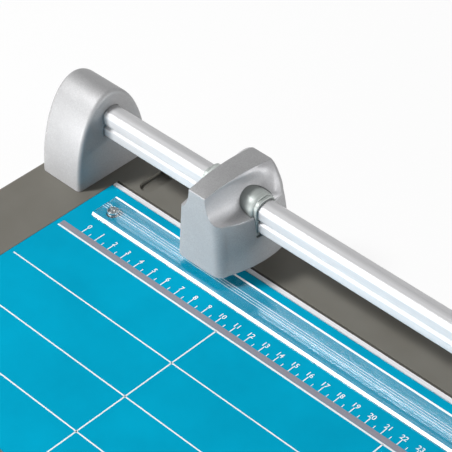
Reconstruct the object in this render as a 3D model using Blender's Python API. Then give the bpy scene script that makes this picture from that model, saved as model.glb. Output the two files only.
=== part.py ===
"""Rotary paper trimmer: a base with a printed table, a keyed rail between two end blocks,
a cutting head that slides on the rail and a clear strip that clamps the sheet.

Frame: metres, +X along the rail, +Y towards the rear, +Z up. The origin is on the desk,
under the middle of the base.
"""
import math

import bmesh
import bpy
from mathutils import Vector

mm = 0.001

# Clearances
SEAT_GAP = 0.3 * mm          # between pieces that are fixed to each other
SLIDE_GAP = 0.35 * mm        # between the collars and the rail
END_STOP_GAP = 0.8 * mm      # left between the head and an end block at the end of the travel
SCREW_CLEARANCE = 0.3 * mm   # all round a screw shank or head

# Base
CUT_TRAVEL = 324.4 * mm        # travel of the head, end to end
BASE_DEPTH = 211 * mm
BASE_CORNER = 12 * mm
BASE_EDGE = 2 * mm           # rounding of the moulded edges
BASE_END_MARGIN = 5 * mm     # base beyond the outer face of an end block
UNDERSIDE_HEIGHT = 3 * mm    # underside of the moulding over the desk
TABLE_HEIGHT = 20 * mm       # table surface over the desk
MOULDING_WALL = 2.5 * mm
RIB = 3 * mm
POCKET_COLUMNS = 6

# Table plate and lower blade
PLATE_THICKNESS = 2 * mm
PLATE_END_INSET = 7.8 * mm   # from the inner face of an end block to the end of the plate
PLATE_FRONT_INSET = 4 * mm
LOWER_BLADE_WIDTH = 2.7 * mm
LOWER_BLADE_HEIGHT = 6 * mm
LOWER_BLADE_SCREWS = 4
BLADE_SLOT_CLEARANCE = 0.7 * mm

# Deck behind the cut
SLOT_WIDTH = 10 * mm         # finger slot sunk into the deck
SLOT_LENGTH = 20 * mm
SLOT_DEPTH = 2.3 * mm
SLOT_END_INSET = 23 * mm     # from the inner face of an end block to the slot's middle
SLOT_REAR_MARGIN = 8 * mm

# Rail
RAIL_SETBACK = 27.5 * mm     # rail centre to the rear edge of the base
RAIL_WIDTH = 11.6 * mm
RAIL_HEIGHT = 18 * mm
RAIL_TOP_RADIUS = 3.6 * mm
RAIL_FOOT_RADIUS = 2.6 * mm
RAIL_CROWN = 0.5 * mm
GROOVE_DROP = 9.8 * mm       # middle of the key groove under the rail's top
GROOVE_HEIGHT = 3 * mm
GROOVE_DEPTH = 1.7 * mm

# End blocks
BLOCK_WIDTH = 30 * mm
BLOCK_REAR_MARGIN = 1 * mm   # base behind the end blocks
BLOCK_OVER_RAIL = 18.6 * mm  # top of a block over the rail centre
BLOCK_EDGE = 2.5 * mm
SOCKET_DEPTH = 14 * mm       # length of rail inside a block

# Cutting head
HEAD_REST = -89.5 * mm       # middle of the head along the rail
HEAD_FRONT = 30.2 * mm       # front face ahead of the rail centre
HEAD_DEPTH = 48.2 * mm
HEAD_UNDERSIDE = 8.2 * mm    # lower edge of the hood over the table
LEDGE_OVER_RAIL = 5.6 * mm   # lower edge of the scooped ends over the rail centre
LEDGE_DIP = 2.2 * mm         # fall of that edge at the middle
HEAD_OVER_RAIL = 21 * mm     # front edge of the top over the rail centre
HEAD_FALL = 0.8 * mm         # fall of the top from front to rear
HEAD_CROWN = 2.4 * mm
TOP_FRONT_HALF = 5.7 * mm    # half widths at the corners
TOP_REAR_HALF = 7.2 * mm
LEDGE_FRONT_HALF = 14.6 * mm
LEDGE_REAR_HALF = 17 * mm
SKIRT_FRONT_HALF = 16.8 * mm
SKIRT_REAR_HALF = 20.6 * mm
LEDGE_BULGE = 3 * mm
SKIRT_BULGE = 2.9 * mm
HEAD_CORNER = 6 * mm
TOP_CORNER = 1.2 * mm
SCOOP_POWER = 2.1            # how hollow the scooped ends are at the front
SHOULDER_POWER = 0.55        # how full the shoulder behind the scoop is
SKIRT_POWER = 3              # how late the rear of the skirt draws in towards the ledge
SCOOP_TURN = 0.45            # share of the head's depth where the scoop turns outwards
HOOD_WALL = 2.2 * mm
PILLAR_SINK = 0.8 * mm       # how far a screw pillar is sunk into the hood's wall

# Collars on the rail
COLLAR_REACH = 19.6 * mm     # collar end from the middle of the head
COLLAR_INNER_END = 4.5 * mm
COLLAR_WALL = 2.2 * mm

# Blade and its carrier
BLADE_DIAMETER = 24 * mm
BLADE_THICKNESS = 0.6 * mm
BLADE_DIP = 2 * mm           # cutting edge under the table surface
BLADE_OFFSET = 4.8 * mm      # blade plane ahead of the rail centre
BLADE_TOP_GAP = 0.5 * mm     # between the blade and the carrier over it
CARRIER_SHEET = 2.4 * mm
CARRIER_HALF_WIDTH = 9 * mm
LEG_CLEARANCE = 3 * mm       # carrier legs over the table
LEG_LEAD = 4.7 * mm          # front leg's inner face ahead of the blade plane
AXLE_DIAMETER = 4 * mm
AXLE_HEAD_DIAMETER = 7 * mm
AXLE_HEAD_LENGTH = 1.5 * mm
HUB_DIAMETER = 14 * mm
SPIGOT_DIAMETER = 8 * mm
HUB_NUT_LENGTH = 2 * mm
BLADE_SPRING_LENGTH = 3.6 * mm
CLIP_DIAMETER = 8 * mm
CLIP_THICKNESS = 1 * mm
SHOE_HALF_WIDTH = 8 * mm
SHOE_DEPTH = 4.5 * mm

# Clear clamp strip
STRIP_END_INSET = 20 * mm    # from the inner face of an end block to the end of the strip
STRIP_WIDTH = 18.6 * mm
STRIP_SETBACK = 11.4 * mm    # rear edge of the strip ahead of the lower blade's rear face
STRIP_THICKNESS = 2.6 * mm
STRIP_LIFT = 1.2 * mm        # strip over the table at rest
STRIP_BEVEL = 1.5 * mm
STRIP_GROOVE_WIDTH = 2.5 * mm
STRIP_GROOVE_DEPTH = 0.5 * mm
STRIP_GROOVE_INSET = 7.1 * mm    # groove from the strip's rear edge
PIN_INSET = 7 * mm           # guide pin from the strip's end
PIN_DIAMETER = 3 * mm
PIN_HEAD_DIAMETER = 6 * mm
PIN_HEAD_LENGTH = 1.2 * mm
PIN_RING_DIAMETER = 7 * mm
PIN_RING_THICKNESS = 1 * mm
PIN_BOSS_FOOT = 3 * mm       # underside of the pin boss over the underside of the base
SPRING_RADIUS = 2.7 * mm     # middle of the wire
SPRING_WIRE = 0.8 * mm
CLAMP_SPRING_TURNS = 5
BLADE_SPRING_TURNS = 2

# Screws and feet
SCREW_SHANK = 3 * mm
SCREW_HEAD = 6 * mm
SCREW_HEAD_LENGTH = 2.4 * mm
SCREW_GRIP = 8 * mm          # shank in the piece that the screw holds
BLADE_SCREW_GRIP = 3.5 * mm
RAIL_SCREW_SHANK = 4 * mm
RAIL_SCREW_HEAD = 8 * mm
RAIL_SCREW_HEAD_LENGTH = 3.5 * mm
RAIL_SCREW_GRIP = 12 * mm
BOSS_WALL = 2.5 * mm
FOOT_DIAMETER = 14 * mm
FOOT_SEAT = 1.5 * mm         # how far a foot sits in the base
FOOT_INSET = 17 * mm         # foot centre from the front and the ends of the base

# Facets
CORNER_STEPS = 4
BASE_CORNER_STEPS = 9
POCKET_CORNER_STEPS = 3
ROUND_SIDES = 20
HOOD_END_SHARES = (0.16, 0.32, 0.5, 0.64, 0.76, 0.86, 0.95)   # of an end, front to rear
COIL_POINTS = 10
COIL_SIDES = 6


def swell(share):
    """How far a bulge stands out at a share of an end's length, 1 at its middle."""
    return 1 - (2 * share - 1) ** 2


# Places that follow from the sizes
rail_y = BASE_DEPTH / 2 - RAIL_SETBACK
carrier_plate = TABLE_HEIGHT - BLADE_DIP + BLADE_DIAMETER + BLADE_TOP_GAP
carrier_top = carrier_plate + CARRIER_SHEET
collar_foot = carrier_top + SEAT_GAP
rail_z = collar_foot + COLLAR_WALL + RAIL_HEIGHT / 2
rail_top = rail_z + RAIL_HEIGHT / 2
block_half_depth = RAIL_SETBACK - BLOCK_REAR_MARGIN
block_top = rail_z + BLOCK_OVER_RAIL
ledge_z = rail_z + LEDGE_OVER_RAIL
head_top = rail_z + HEAD_OVER_RAIL
skirt_spread = SKIRT_REAR_HALF - SKIRT_FRONT_HALF
skirt_reach = max(SKIRT_FRONT_HALF + skirt_spread * s + SKIRT_BULGE * swell(s) for s in HOOD_END_SHARES)
head_reach = max(COLLAR_REACH, SKIRT_FRONT_HALF, SKIRT_REAR_HALF, skirt_reach)
block_inner = CUT_TRAVEL / 2 + head_reach + END_STOP_GAP
block_outer = block_inner + BLOCK_WIDTH
base_half_length = block_outer + BASE_END_MARGIN
plate_half_length = block_inner - PLATE_END_INSET
seat_z = TABLE_HEIGHT - PLATE_THICKNESS - SEAT_GAP
ceiling_z = seat_z - MOULDING_WALL
blade_y = rail_y - BLADE_OFFSET
blade_z = TABLE_HEIGHT - BLADE_DIP + BLADE_DIAMETER / 2
lower_blade_rear = blade_y - BLADE_THICKNESS / 2 - SEAT_GAP
lower_blade_front = lower_blade_rear - LOWER_BLADE_WIDTH
lower_blade_middle = (lower_blade_front + lower_blade_rear) / 2
blade_slot_front = lower_blade_front - SEAT_GAP
blade_slot_rear = blade_y + BLADE_THICKNESS / 2 + BLADE_SLOT_CLEARANCE
blade_slot_floor = TABLE_HEIGHT - LOWER_BLADE_HEIGHT - SEAT_GAP
head_front = rail_y - HEAD_FRONT
head_rear = head_front + HEAD_DEPTH
carrier_foot = TABLE_HEIGHT + LEG_CLEARANCE
front_leg = blade_y - LEG_LEAD
hub_nut_front = blade_y + BLADE_THICKNESS / 2 + SEAT_GAP
hub_nut_rear = hub_nut_front + HUB_NUT_LENGTH
rear_leg = hub_nut_rear + BLADE_SPRING_LENGTH + 2 * SEAT_GAP
strip_rear = lower_blade_rear - STRIP_SETBACK
strip_front = strip_rear - STRIP_WIDTH
strip_half_length = block_inner - STRIP_END_INSET
strip_foot = TABLE_HEIGHT + STRIP_LIFT
strip_top = strip_foot + STRIP_THICKNESS
pin_x = strip_half_length - PIN_INSET
pin_y = (strip_front + strip_rear) / 2
pin_boss_foot = UNDERSIDE_HEIGHT + PIN_BOSS_FOOT
spring_pocket_floor = pin_boss_foot + MOULDING_WALL
spring_pocket_radius = SPRING_RADIUS + SPRING_WIRE / 2 + 2 * SEAT_GAP
block_screw_x = (block_inner + block_outer) / 2
block_screw_y = (rail_y - block_half_depth / 2, rail_y + block_half_depth / 2)
block_screw_seat = TABLE_HEIGHT - 2 * MOULDING_WALL
blade_screw_seat = blade_slot_floor - MOULDING_WALL
foot_x = base_half_length - FOOT_INSET
foot_y = (FOOT_INSET - BASE_DEPTH / 2, blade_slot_rear + RIB + FOOT_DIAMETER / 2 + BOSS_WALL)
rear_foot_x = block_inner - FOOT_DIAMETER - BOSS_WALL
hood_boss_inset = HOOD_WALL + SCREW_HEAD / 2 + SCREW_CLEARANCE
hood_boss_radius = SCREW_HEAD / 2 + SCREW_CLEARANCE + PILLAR_SINK
hood_boss_y = (head_front + hood_boss_inset, head_rear - hood_boss_inset)


def linear(hex_colour):
    """Turn an sRGB hex colour into linear red, green and blue."""
    channels = [int(hex_colour[i:i + 2], 16) / 255 for i in (0, 2, 4)]
    return [c / 12.92 if c <= 0.04045 else ((c + 0.055) / 1.055) ** 2.4 for c in channels]


def make_material(name, hex_colour, roughness, metallic=0.0, transmission=0.0):
    made = bpy.data.materials.new(name)
    made.use_nodes = True
    shader = made.node_tree.nodes["Principled BSDF"]
    shader.inputs["Base Color"].default_value = (*linear(hex_colour), 1.0)
    shader.inputs["Roughness"].default_value = roughness
    shader.inputs["Metallic"].default_value = metallic
    shader.inputs["Transmission Weight"].default_value = transmission
    made.diffuse_color = (*linear(hex_colour), 1.0)
    return made


def arc(centre, radius, start, end, steps=CORNER_STEPS):
    """Points along an arc, angles in degrees."""
    angles = [math.radians(start + (end - start) * i / steps) for i in range(steps + 1)]
    return [(centre[0] + radius * math.cos(a), centre[1] + radius * math.sin(a)) for a in angles]


def rounded_rectangle(low, high, radius, steps=CORNER_STEPS):
    inner = [(high[0] - radius, low[1] + radius), (high[0] - radius, high[1] - radius),
             (low[0] + radius, high[1] - radius), (low[0] + radius, low[1] + radius)]
    points = []
    for quarter, centre in enumerate(inner):
        points += arc(centre, radius, 90 * quarter - 90, 90 * quarter, steps)
    return points


def rectangle(low, high):
    return [(low[0], low[1]), (high[0], low[1]), (high[0], high[1]), (low[0], high[1])]


def join_rings(bm, rings, closed=False):
    """Skin a row of point rings; the end rings are capped unless the row closes on itself."""
    loops = [[bm.verts.new(p) for p in ring] for ring in rings]
    count = len(loops[0])
    pairs = list(zip(loops, loops[1:] + loops[:1])) if closed else list(zip(loops, loops[1:]))
    faces = []
    for lower, upper in pairs:
        for i in range(count):
            j = (i + 1) % count
            faces.append(bm.faces.new((lower[i], lower[j], upper[j], upper[i])))
    if not closed:
        faces.append(bm.faces.new(loops[0][::-1]))
        faces.append(bm.faces.new(loops[-1]))
    bmesh.ops.recalc_face_normals(bm, faces=faces)


def along(axis, a, b, t):
    """A point whose section is (a, b) at distance t along an axis."""
    return {"X": (t, a, b), "Y": (a, t, b), "Z": (a, b, t)}[axis]


def prism(outline, axis, low, high, bm=None):
    bm = bm or bmesh.new()
    join_rings(bm, [[along(axis, a, b, t) for a, b in outline] for t in (low, high)])
    return bm


def turned(profile, axis, centre, bm=None, closed=False):
    """A round piece: profile lists (radius, distance along the axis), centre is its axis."""
    bm = bm or bmesh.new()
    rings = []
    for radius, t in profile:
        circle = arc(centre, radius, 0, 360, ROUND_SIDES)[:-1]
        rings.append([along(axis, a, b, t) for a, b in circle])
    join_rings(bm, rings, closed)
    return bm


def washer(inner, outer, axis, centre, low, high):
    return turned([(inner, low), (outer, low), (outer, high), (inner, high)], axis, centre, closed=True)


def coil(radius, wire, turns, axis, centre, low, high):
    """A spring's wire: rings square to a helix that climbs evenly from low to high. Prints the
    least gap between one turn's points and the next turn's."""
    count = int(turns * COIL_POINTS)
    climb = Vector(along(axis, 0, 0, 1))
    middles = []
    rings = []
    for i in range(count + 1):
        angle = 2 * math.pi * turns * i / count
        outward = Vector(along(axis, math.cos(angle), math.sin(angle), 0))
        middle = Vector(along(axis, *centre, low + (high - low) * i / count)) + outward * radius
        middles.append(middle)
        ring = []
        for k in range(COIL_SIDES):
            turn = 2 * math.pi * k / COIL_SIDES
            ring.append(middle + (outward * math.cos(turn) + climb * math.sin(turn)) * wire / 2)
        rings.append(ring)
    apart = [(a - b).length for i, a in enumerate(middles) for b in middles[i + COIL_POINTS // 2:]]
    print(f"least gap in a {turns} turn spring: {(min(apart) - wire) / mm:.2f} mm")
    bm = bmesh.new()
    join_rings(bm, rings)
    return bm


def add_piece(name, bm, material, frame=None, sharp=35):
    """Make a node; its origin is its frame's, and its mesh is moved to match."""
    mesh = bpy.data.meshes.new(name)
    if frame:
        bmesh.ops.translate(bm, vec=-frame.location, verts=bm.verts)
    bm.to_mesh(mesh)
    bm.free()
    mesh.materials.append(material)
    mesh.shade_smooth()
    mesh.set_sharp_from_angle(angle=math.radians(sharp))
    piece = bpy.data.objects.new(name, mesh)
    piece.parent = frame
    bpy.context.scene.collection.objects.link(piece)
    return piece


def add_guide(name, bm):
    """Make a shape that only cuts or adds to a node."""
    mesh = bpy.data.meshes.new(name)
    bm.to_mesh(mesh)
    bm.free()
    guide = bpy.data.objects.new(name, mesh)
    guide.hide_render = True
    guide.display_type = "WIRE"
    bpy.context.scene.collection.objects.link(guide)
    return guide


def combine(piece, name, bm, operation="DIFFERENCE"):
    guide = add_guide(name, bm)
    step = piece.modifiers.new(name, "BOOLEAN")
    step.operation = operation
    step.object = guide
    return guide


def round_edges(piece, width, segments=2):
    step = piece.modifiers.new("rounded edges", "BEVEL")
    step.width = width
    step.segments = segments
    step.limit_method = "ANGLE"
    step.angle_limit = math.radians(50)


def add_frame(name, place):
    frame = bpy.data.objects.new(name, None)
    frame.location = place
    bpy.context.scene.collection.objects.link(frame)
    return frame


def rail_outline(grown=0.0):
    """Half of the rail's section, mirrored: a crowned upper lobe and a lower lobe with a key groove
    between them. A grown outline is the clearance hole for the rail."""
    half = RAIL_WIDTH / 2 + grown
    top = rail_top + grown
    foot = rail_z - RAIL_HEIGHT / 2 - grown
    groove = rail_top - GROOVE_DROP
    mouth = GROOVE_HEIGHT / 2 - grown
    floor = half - GROOVE_DEPTH
    top_radius = RAIL_TOP_RADIUS + grown
    foot_radius = RAIL_FOOT_RADIUS + grown
    right = arc((half - foot_radius, foot + foot_radius), foot_radius, -90, 0)
    right += [(half, groove - mouth), (floor, groove - mouth / 2)]
    right += [(floor, groove + mouth / 2), (half, groove + mouth)]
    right += arc((half - top_radius, top - RAIL_CROWN - top_radius), top_radius, 0, 90)
    right += [(0.0, top)]
    left = [(-a, b) for a, b in right[-2::-1]]
    return [(rail_y + a, b) for a, b in right + left]


def collar_outline(grown=0.0):
    """An arch round the rail's section."""
    half = RAIL_WIDTH / 2 + COLLAR_WALL + grown
    top = rail_top + COLLAR_WALL + grown
    foot = collar_foot - grown
    radius = RAIL_TOP_RADIUS + COLLAR_WALL + grown
    right = [(half, foot)] + arc((half - radius, top - radius), radius, 0, 90)
    left = [(-a, b) for a, b in right[::-1]]
    return [(rail_y + a, b) for a, b in right + left]


def block_outline():
    """A domed hump over the rail, half an ellipse in outline."""
    foot = TABLE_HEIGHT + SEAT_GAP
    steps = 4 * CORNER_STEPS
    points = []
    for i in range(steps + 1):
        angle = math.pi * i / steps
        height = foot + (block_top - foot) * math.sin(angle)
        points.append((rail_y + block_half_depth * math.cos(angle), height))
    return points


def hood_side(front_half, rear_half, bulge, corner, inset, turn):
    """One side of the hood in plan, front to rear: a corner, an end that bulges and, past the
    turn, sweeps out to the rear, then a corner."""
    low = head_front + inset
    high = head_rear - inset
    side = arc((front_half - corner, low + corner), corner, -90, 0)
    for share in HOOD_END_SHARES:
        y = low + corner + (high - low - 2 * corner) * share
        sweep = max(0.0, (share - turn) / (1 - turn)) ** (1 + turn / SCOOP_TURN)
        x = front_half + (rear_half - front_half) * sweep + bulge * swell(share)
        side.append((x, y))
    side += arc((rear_half - corner, high - corner), corner, 0, 90)
    return side


def hood_body(inset, foot):
    """The hood's outer form, or with an inset the hollow in it: a skirt that widens downwards,
    and above it two ends scooped out from the front to a shoulder at the rear."""
    skirt_z = TABLE_HEIGHT + HEAD_UNDERSIDE
    rise = head_top - ledge_z
    levels = []
    for share in (0.0, 0.5, 0.75, 1.0):
        front_half = SKIRT_FRONT_HALF + (LEDGE_FRONT_HALF - SKIRT_FRONT_HALF) * share
        rear_half = SKIRT_REAR_HALF + (LEDGE_REAR_HALF - SKIRT_REAR_HALF) * share ** SKIRT_POWER
        bulge = SKIRT_BULGE + (LEDGE_BULGE - SKIRT_BULGE) * share
        z = skirt_z + (ledge_z - skirt_z) * share
        roof = inset if share == 1.0 else 0.0
        level = (z - roof if share else foot, -LEDGE_DIP * share)
        levels.append((*level, front_half, rear_half, bulge, HEAD_CORNER, 0.0))
    for share in (0.03, 0.1, 0.2, 0.36, 0.6, 0.8, 0.92, 1.0):
        flare = 1 - (1 - (1 - share) ** SCOOP_POWER) ** (1 / SCOOP_POWER)
        shoulder = (1 - share ** 2) ** SHOULDER_POWER
        front_half = TOP_FRONT_HALF + (LEDGE_FRONT_HALF - TOP_FRONT_HALF) * flare
        rear_half = TOP_REAR_HALF + (LEDGE_REAR_HALF - TOP_REAR_HALF) * shoulder
        corner = TOP_CORNER + (HEAD_CORNER - TOP_CORNER) * flare
        turn = SCOOP_TURN * min(1.0, 4 * share) * (1 - share ** 6)
        z = ledge_z + rise * share - inset
        arch = HEAD_CROWN * share ** 2 - LEDGE_DIP * (1 - share)
        level = (z - HEAD_FALL * share ** 2 / 2, arch)
        levels.append((*level, front_half, rear_half, LEDGE_BULGE * flare, corner, turn))
    middle = (head_front + head_rear) / 2
    bm = bmesh.new()
    rings = []
    for z, arch, front_half, rear_half, bulge, corner, turn in levels:
        corner = max(corner - inset, TOP_CORNER / 2)
        side = hood_side(front_half - inset, rear_half - inset, bulge, corner, inset, turn)
        lean = HEAD_FALL / 2 if z > ledge_z + rise / 2 else 0.0
        ring = []
        for x, y in side:
            share = (y - middle) / (HEAD_DEPTH / 2)
            ring.append((x, y, z + arch * (1 - share ** 2) - lean * share))
        ring += [(-x, y, level) for x, y, level in ring[::-1]]
        rings.append([(HEAD_REST + x, y, level) for x, y, level in ring])
    loops = [[bm.verts.new(p) for p in ring] for ring in rings]
    count = len(loops[0])
    for lower, upper in zip(loops, loops[1:]):
        for i in range(count):
            j = (i + 1) % count
            bm.faces.new((lower[i], lower[j], upper[j], upper[i]))
    for loop in (loops[0], loops[-1]):
        for i in range(count // 2 - 1):
            bm.faces.new((loop[i], loop[i + 1], loop[count - 2 - i], loop[count - 1 - i]))
    bmesh.ops.recalc_face_normals(bm, faces=bm.faces)
    return bm


def screw(axis, centre, seat, way, head, head_length, shank, grip):
    """A screw whose head bears at seat and whose shank runs the way given, +1 or -1."""
    profile = [(head / 2, seat - way * head_length), (head / 2, seat), (shank / 2, seat),
               (shank / 2, seat + way * grip)]
    return turned(profile, axis, centre)


def screw_hole(bm, axis, centre, seat, way, mouth, head, shank, reach):
    """The stepped hole for a screw: a counterbore from mouth to seat, then the shank's hole."""
    wide = head / 2 + SCREW_CLEARANCE
    narrow = shank / 2 + SCREW_CLEARANCE
    profile = [(wide, mouth), (wide, seat + way * SEAT_GAP), (narrow, seat + way * SEAT_GAP),
               (narrow, seat + way * reach)]
    return turned(profile, axis, centre, bm)


for thing in list(bpy.data.objects):
    bpy.data.objects.remove(thing, do_unlink=True)

deck_plastic = make_material("grey moulded plastic", "66645D", 0.55)
table_film = make_material("blue printed table", "039FC2", 0.35)
steel = make_material("ground steel", "D9DCDE", 0.25, 1.0)
rail_metal = make_material("satin aluminium", "DADADA", 0.3, 1.0)
hood_plastic = make_material("silver moulded plastic", "B2B6BC", 0.4)
collar_plastic = make_material("grey bearing plastic", "7A7F7C", 0.4)
clear_plastic = make_material("clear polycarbonate", "DDEBF0", 0.08, 0.0, 0.9)
rubber = make_material("black rubber", "1E1E1E", 0.8)
spring_steel = make_material("spring steel", "8C8E90", 0.3, 1.0)
hub_plastic = make_material("white acetal", "E4E2DC", 0.45)

carriage = add_frame("carriage", (HEAD_REST, rail_y, rail_z))
blade_axis = add_frame("blade_axis", (HEAD_REST, blade_y, blade_z))
clamp = add_frame("clamp", (0, pin_y, strip_foot))


def add_base():
    low = (-base_half_length, -BASE_DEPTH / 2)
    high = (base_half_length, BASE_DEPTH / 2)
    outline = rounded_rectangle(low, high, BASE_CORNER, BASE_CORNER_STEPS)
    base = add_piece("base_tray", prism(outline, "Z", UNDERSIDE_HEIGHT, TABLE_HEIGHT), deck_plastic)
    round_edges(base, BASE_EDGE)

    above = block_top
    end = plate_half_length + SEAT_GAP
    seat = rectangle((-end, PLATE_FRONT_INSET - SEAT_GAP - BASE_DEPTH / 2), (end, blade_slot_front))
    combine(base, "plate_seat", prism(seat, "Z", seat_z, above))
    slot = rectangle((-end, blade_slot_front - SEAT_GAP), (end, blade_slot_rear))
    combine(base, "blade_slot", prism(slot, "Z", blade_slot_floor, above))

    recesses = bmesh.new()
    rear = BASE_DEPTH / 2 - SLOT_REAR_MARGIN
    for side in (-1, 1):
        x = side * (block_inner - SLOT_END_INSET)
        tip = rear - SLOT_LENGTH + SLOT_WIDTH / 2
        tongue = arc((x, tip), SLOT_WIDTH / 2, 180, 360, 2 * CORNER_STEPS)
        tongue += [(x + SLOT_WIDTH / 2, rear), (x - SLOT_WIDTH / 2, rear)]
        prism(tongue, "Z", TABLE_HEIGHT - SLOT_DEPTH, above, recesses)
    combine(base, "deck_slots", recesses)

    pockets = bmesh.new()
    below = UNDERSIDE_HEIGHT - MOULDING_WALL
    span = 2 * (base_half_length - MOULDING_WALL) + RIB
    column = span / POCKET_COLUMNS
    spine_front = blade_slot_front - SEAT_GAP - RIB
    front = MOULDING_WALL - BASE_DEPTH / 2
    rows = ((front, (front + spine_front - RIB) / 2), ((front + spine_front + RIB) / 2, spine_front),
            (blade_slot_rear + RIB, BASE_DEPTH / 2 - MOULDING_WALL))
    for i in range(POCKET_COLUMNS):
        left = MOULDING_WALL - base_half_length + column * i
        for near, far in rows:
            corner = BASE_CORNER - MOULDING_WALL
            cell = rounded_rectangle((left, near), (left + column - RIB, far), corner, POCKET_CORNER_STEPS)
            prism(cell, "Z", below, ceiling_z, pockets)
    hollow = combine(base, "underside_pockets", pockets)

    bosses = bmesh.new()
    far_below = below - MOULDING_WALL
    for side in (-1, 1):
        boss = SCREW_HEAD / 2 + SCREW_CLEARANCE + BOSS_WALL
        for y in block_screw_y:
            turned([(boss, far_below), (boss, TABLE_HEIGHT)], "Z", (side * block_screw_x, y), bosses)
        boss = FOOT_DIAMETER / 2 + BOSS_WALL
        for place in foot_places():
            if place[0] * side > 0:
                turned([(boss, far_below), (boss, TABLE_HEIGHT)], "Z", place, bosses)
        boss = spring_pocket_radius + BOSS_WALL
        turned([(boss, pin_boss_foot), (boss, TABLE_HEIGHT)], "Z", (side * pin_x, pin_y), bosses)
    keep = hollow.modifiers.new("bosses", "BOOLEAN")
    keep.object = add_guide("boss_guides", bosses)
    keep.use_self = True

    holes = bmesh.new()
    for place in foot_places():
        radius = FOOT_DIAMETER / 2 + SEAT_GAP
        turned([(radius, below), (radius, UNDERSIDE_HEIGHT + FOOT_SEAT)], "Z", place, holes)
    for x in lower_blade_screw_places():
        screw_hole(holes, "Z", (x, lower_blade_middle), blade_screw_seat, 1, below, SCREW_HEAD,
                   SCREW_SHANK, TABLE_HEIGHT - blade_screw_seat)
    for side in (-1, 1):
        for y in block_screw_y:
            screw_hole(holes, "Z", (side * block_screw_x, y), block_screw_seat, 1, below, SCREW_HEAD,
                       SCREW_SHANK, above - block_screw_seat)
        pin_hole = PIN_DIAMETER / 2 + SCREW_CLEARANCE
        turned([(pin_hole, below), (pin_hole, spring_pocket_floor),
                (spring_pocket_radius, spring_pocket_floor), (spring_pocket_radius, above)],
               "Z", (side * pin_x, pin_y), holes)
    combine(base, "base_holes", holes)


def foot_places():
    front_y, rear_y = foot_y
    return [(side * x, y) for side in (-1, 1) for x, y in ((foot_x, front_y), (rear_foot_x, rear_y))]


def lower_blade_screw_places():
    pitch = 2 * plate_half_length / LOWER_BLADE_SCREWS
    return [pitch * (i + 0.5) - plate_half_length for i in range(LOWER_BLADE_SCREWS)]


def add_table():
    outline = rectangle((-plate_half_length, PLATE_FRONT_INSET - BASE_DEPTH / 2),
                        (plate_half_length, blade_slot_front - SEAT_GAP))
    low = TABLE_HEIGHT - PLATE_THICKNESS
    plate = add_piece("table_plate", prism(outline, "Z", low, TABLE_HEIGHT), table_film)
    holes = bmesh.new()
    for side in (-1, 1):
        turned([(spring_pocket_radius, seat_z - MOULDING_WALL),
                (spring_pocket_radius, strip_foot)], "Z", (side * pin_x, pin_y), holes)
    combine(plate, "spring_holes", holes)

    section = rectangle((lower_blade_front, TABLE_HEIGHT - LOWER_BLADE_HEIGHT),
                        (lower_blade_rear, TABLE_HEIGHT))
    strip = add_piece("lower_blade", prism(section, "X", -plate_half_length, plate_half_length), steel)
    tapped = bmesh.new()
    foot = TABLE_HEIGHT - LOWER_BLADE_HEIGHT
    for x in lower_blade_screw_places():
        bore = LOWER_BLADE_WIDTH / 2 - SCREW_CLEARANCE
        turned([(bore, foot - SEAT_GAP), (bore, foot + BLADE_SCREW_GRIP + SEAT_GAP)],
               "Z", (x, lower_blade_middle), tapped)
    combine(strip, "tapped_holes", tapped)
    tip = LOWER_BLADE_WIDTH - 4 * SCREW_CLEARANCE
    for number, x in enumerate(lower_blade_screw_places(), 1):
        grip = foot + BLADE_SCREW_GRIP - blade_screw_seat
        body = screw("Z", (x, lower_blade_middle), blade_screw_seat, 1, SCREW_HEAD, SCREW_HEAD_LENGTH,
                     tip, grip)
        add_piece(f"lower_blade_screw_{number}", body, steel)


def add_ends():
    for side, word in ((-1, "left"), (1, "right")):
        section = prism(block_outline(), "X", side * block_inner, side * block_outer)
        block = add_piece(f"{word}_end_block", section, hood_plastic)
        round_edges(block, BLOCK_EDGE)
        socket_end = side * (block_inner + SOCKET_DEPTH)
        mouth = side * (block_inner - SOCKET_DEPTH)
        combine(block, f"{word}_rail_socket", prism(rail_outline(SEAT_GAP), "X", mouth, socket_end))
        seat = side * (block_outer - RAIL_SCREW_HEAD_LENGTH - MOULDING_WALL)
        holes = screw_hole(bmesh.new(), "X", (rail_y, rail_z), seat, -side, side * base_half_length,
                           RAIL_SCREW_HEAD, RAIL_SCREW_SHANK, abs(seat) - abs(socket_end) + SEAT_GAP)
        for y in block_screw_y:
            bore = SCREW_SHANK / 2 + SCREW_CLEARANCE
            turned([(bore, TABLE_HEIGHT - SEAT_GAP), (bore, TABLE_HEIGHT + SCREW_GRIP + SEAT_GAP)],
                   "Z", (side * block_screw_x, y), holes)
        combine(block, f"{word}_block_holes", holes)
        grip = abs(seat) - abs(socket_end) + SEAT_GAP + RAIL_SCREW_GRIP
        rail_screw = screw("X", (rail_y, rail_z), seat, -side, RAIL_SCREW_HEAD, RAIL_SCREW_HEAD_LENGTH,
                           RAIL_SCREW_SHANK, grip)
        add_piece(f"{word}_rail_screw", rail_screw, steel)
        for place, y in zip(("front", "rear"), block_screw_y):
            grip = TABLE_HEIGHT + SCREW_GRIP - block_screw_seat
            body = screw("Z", (side * block_screw_x, y), block_screw_seat, 1, SCREW_HEAD,
                         SCREW_HEAD_LENGTH, SCREW_SHANK, grip)
            add_piece(f"{word}_block_screw_{place}", body, steel)


def add_rail():
    end = block_inner + SOCKET_DEPTH - SEAT_GAP
    rail = add_piece("rail", prism(rail_outline(), "X", -end, end), rail_metal)
    bores = bmesh.new()
    for side in (-1, 1):
        bore = RAIL_SCREW_SHANK / 2 + SCREW_CLEARANCE
        turned([(bore, side * (end - RAIL_SCREW_GRIP - SEAT_GAP)), (bore, side * (end + RAIL_SCREW_GRIP))],
               "X", (rail_y, rail_z), bores)
    combine(rail, "rail_screw_bores", bores)


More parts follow.
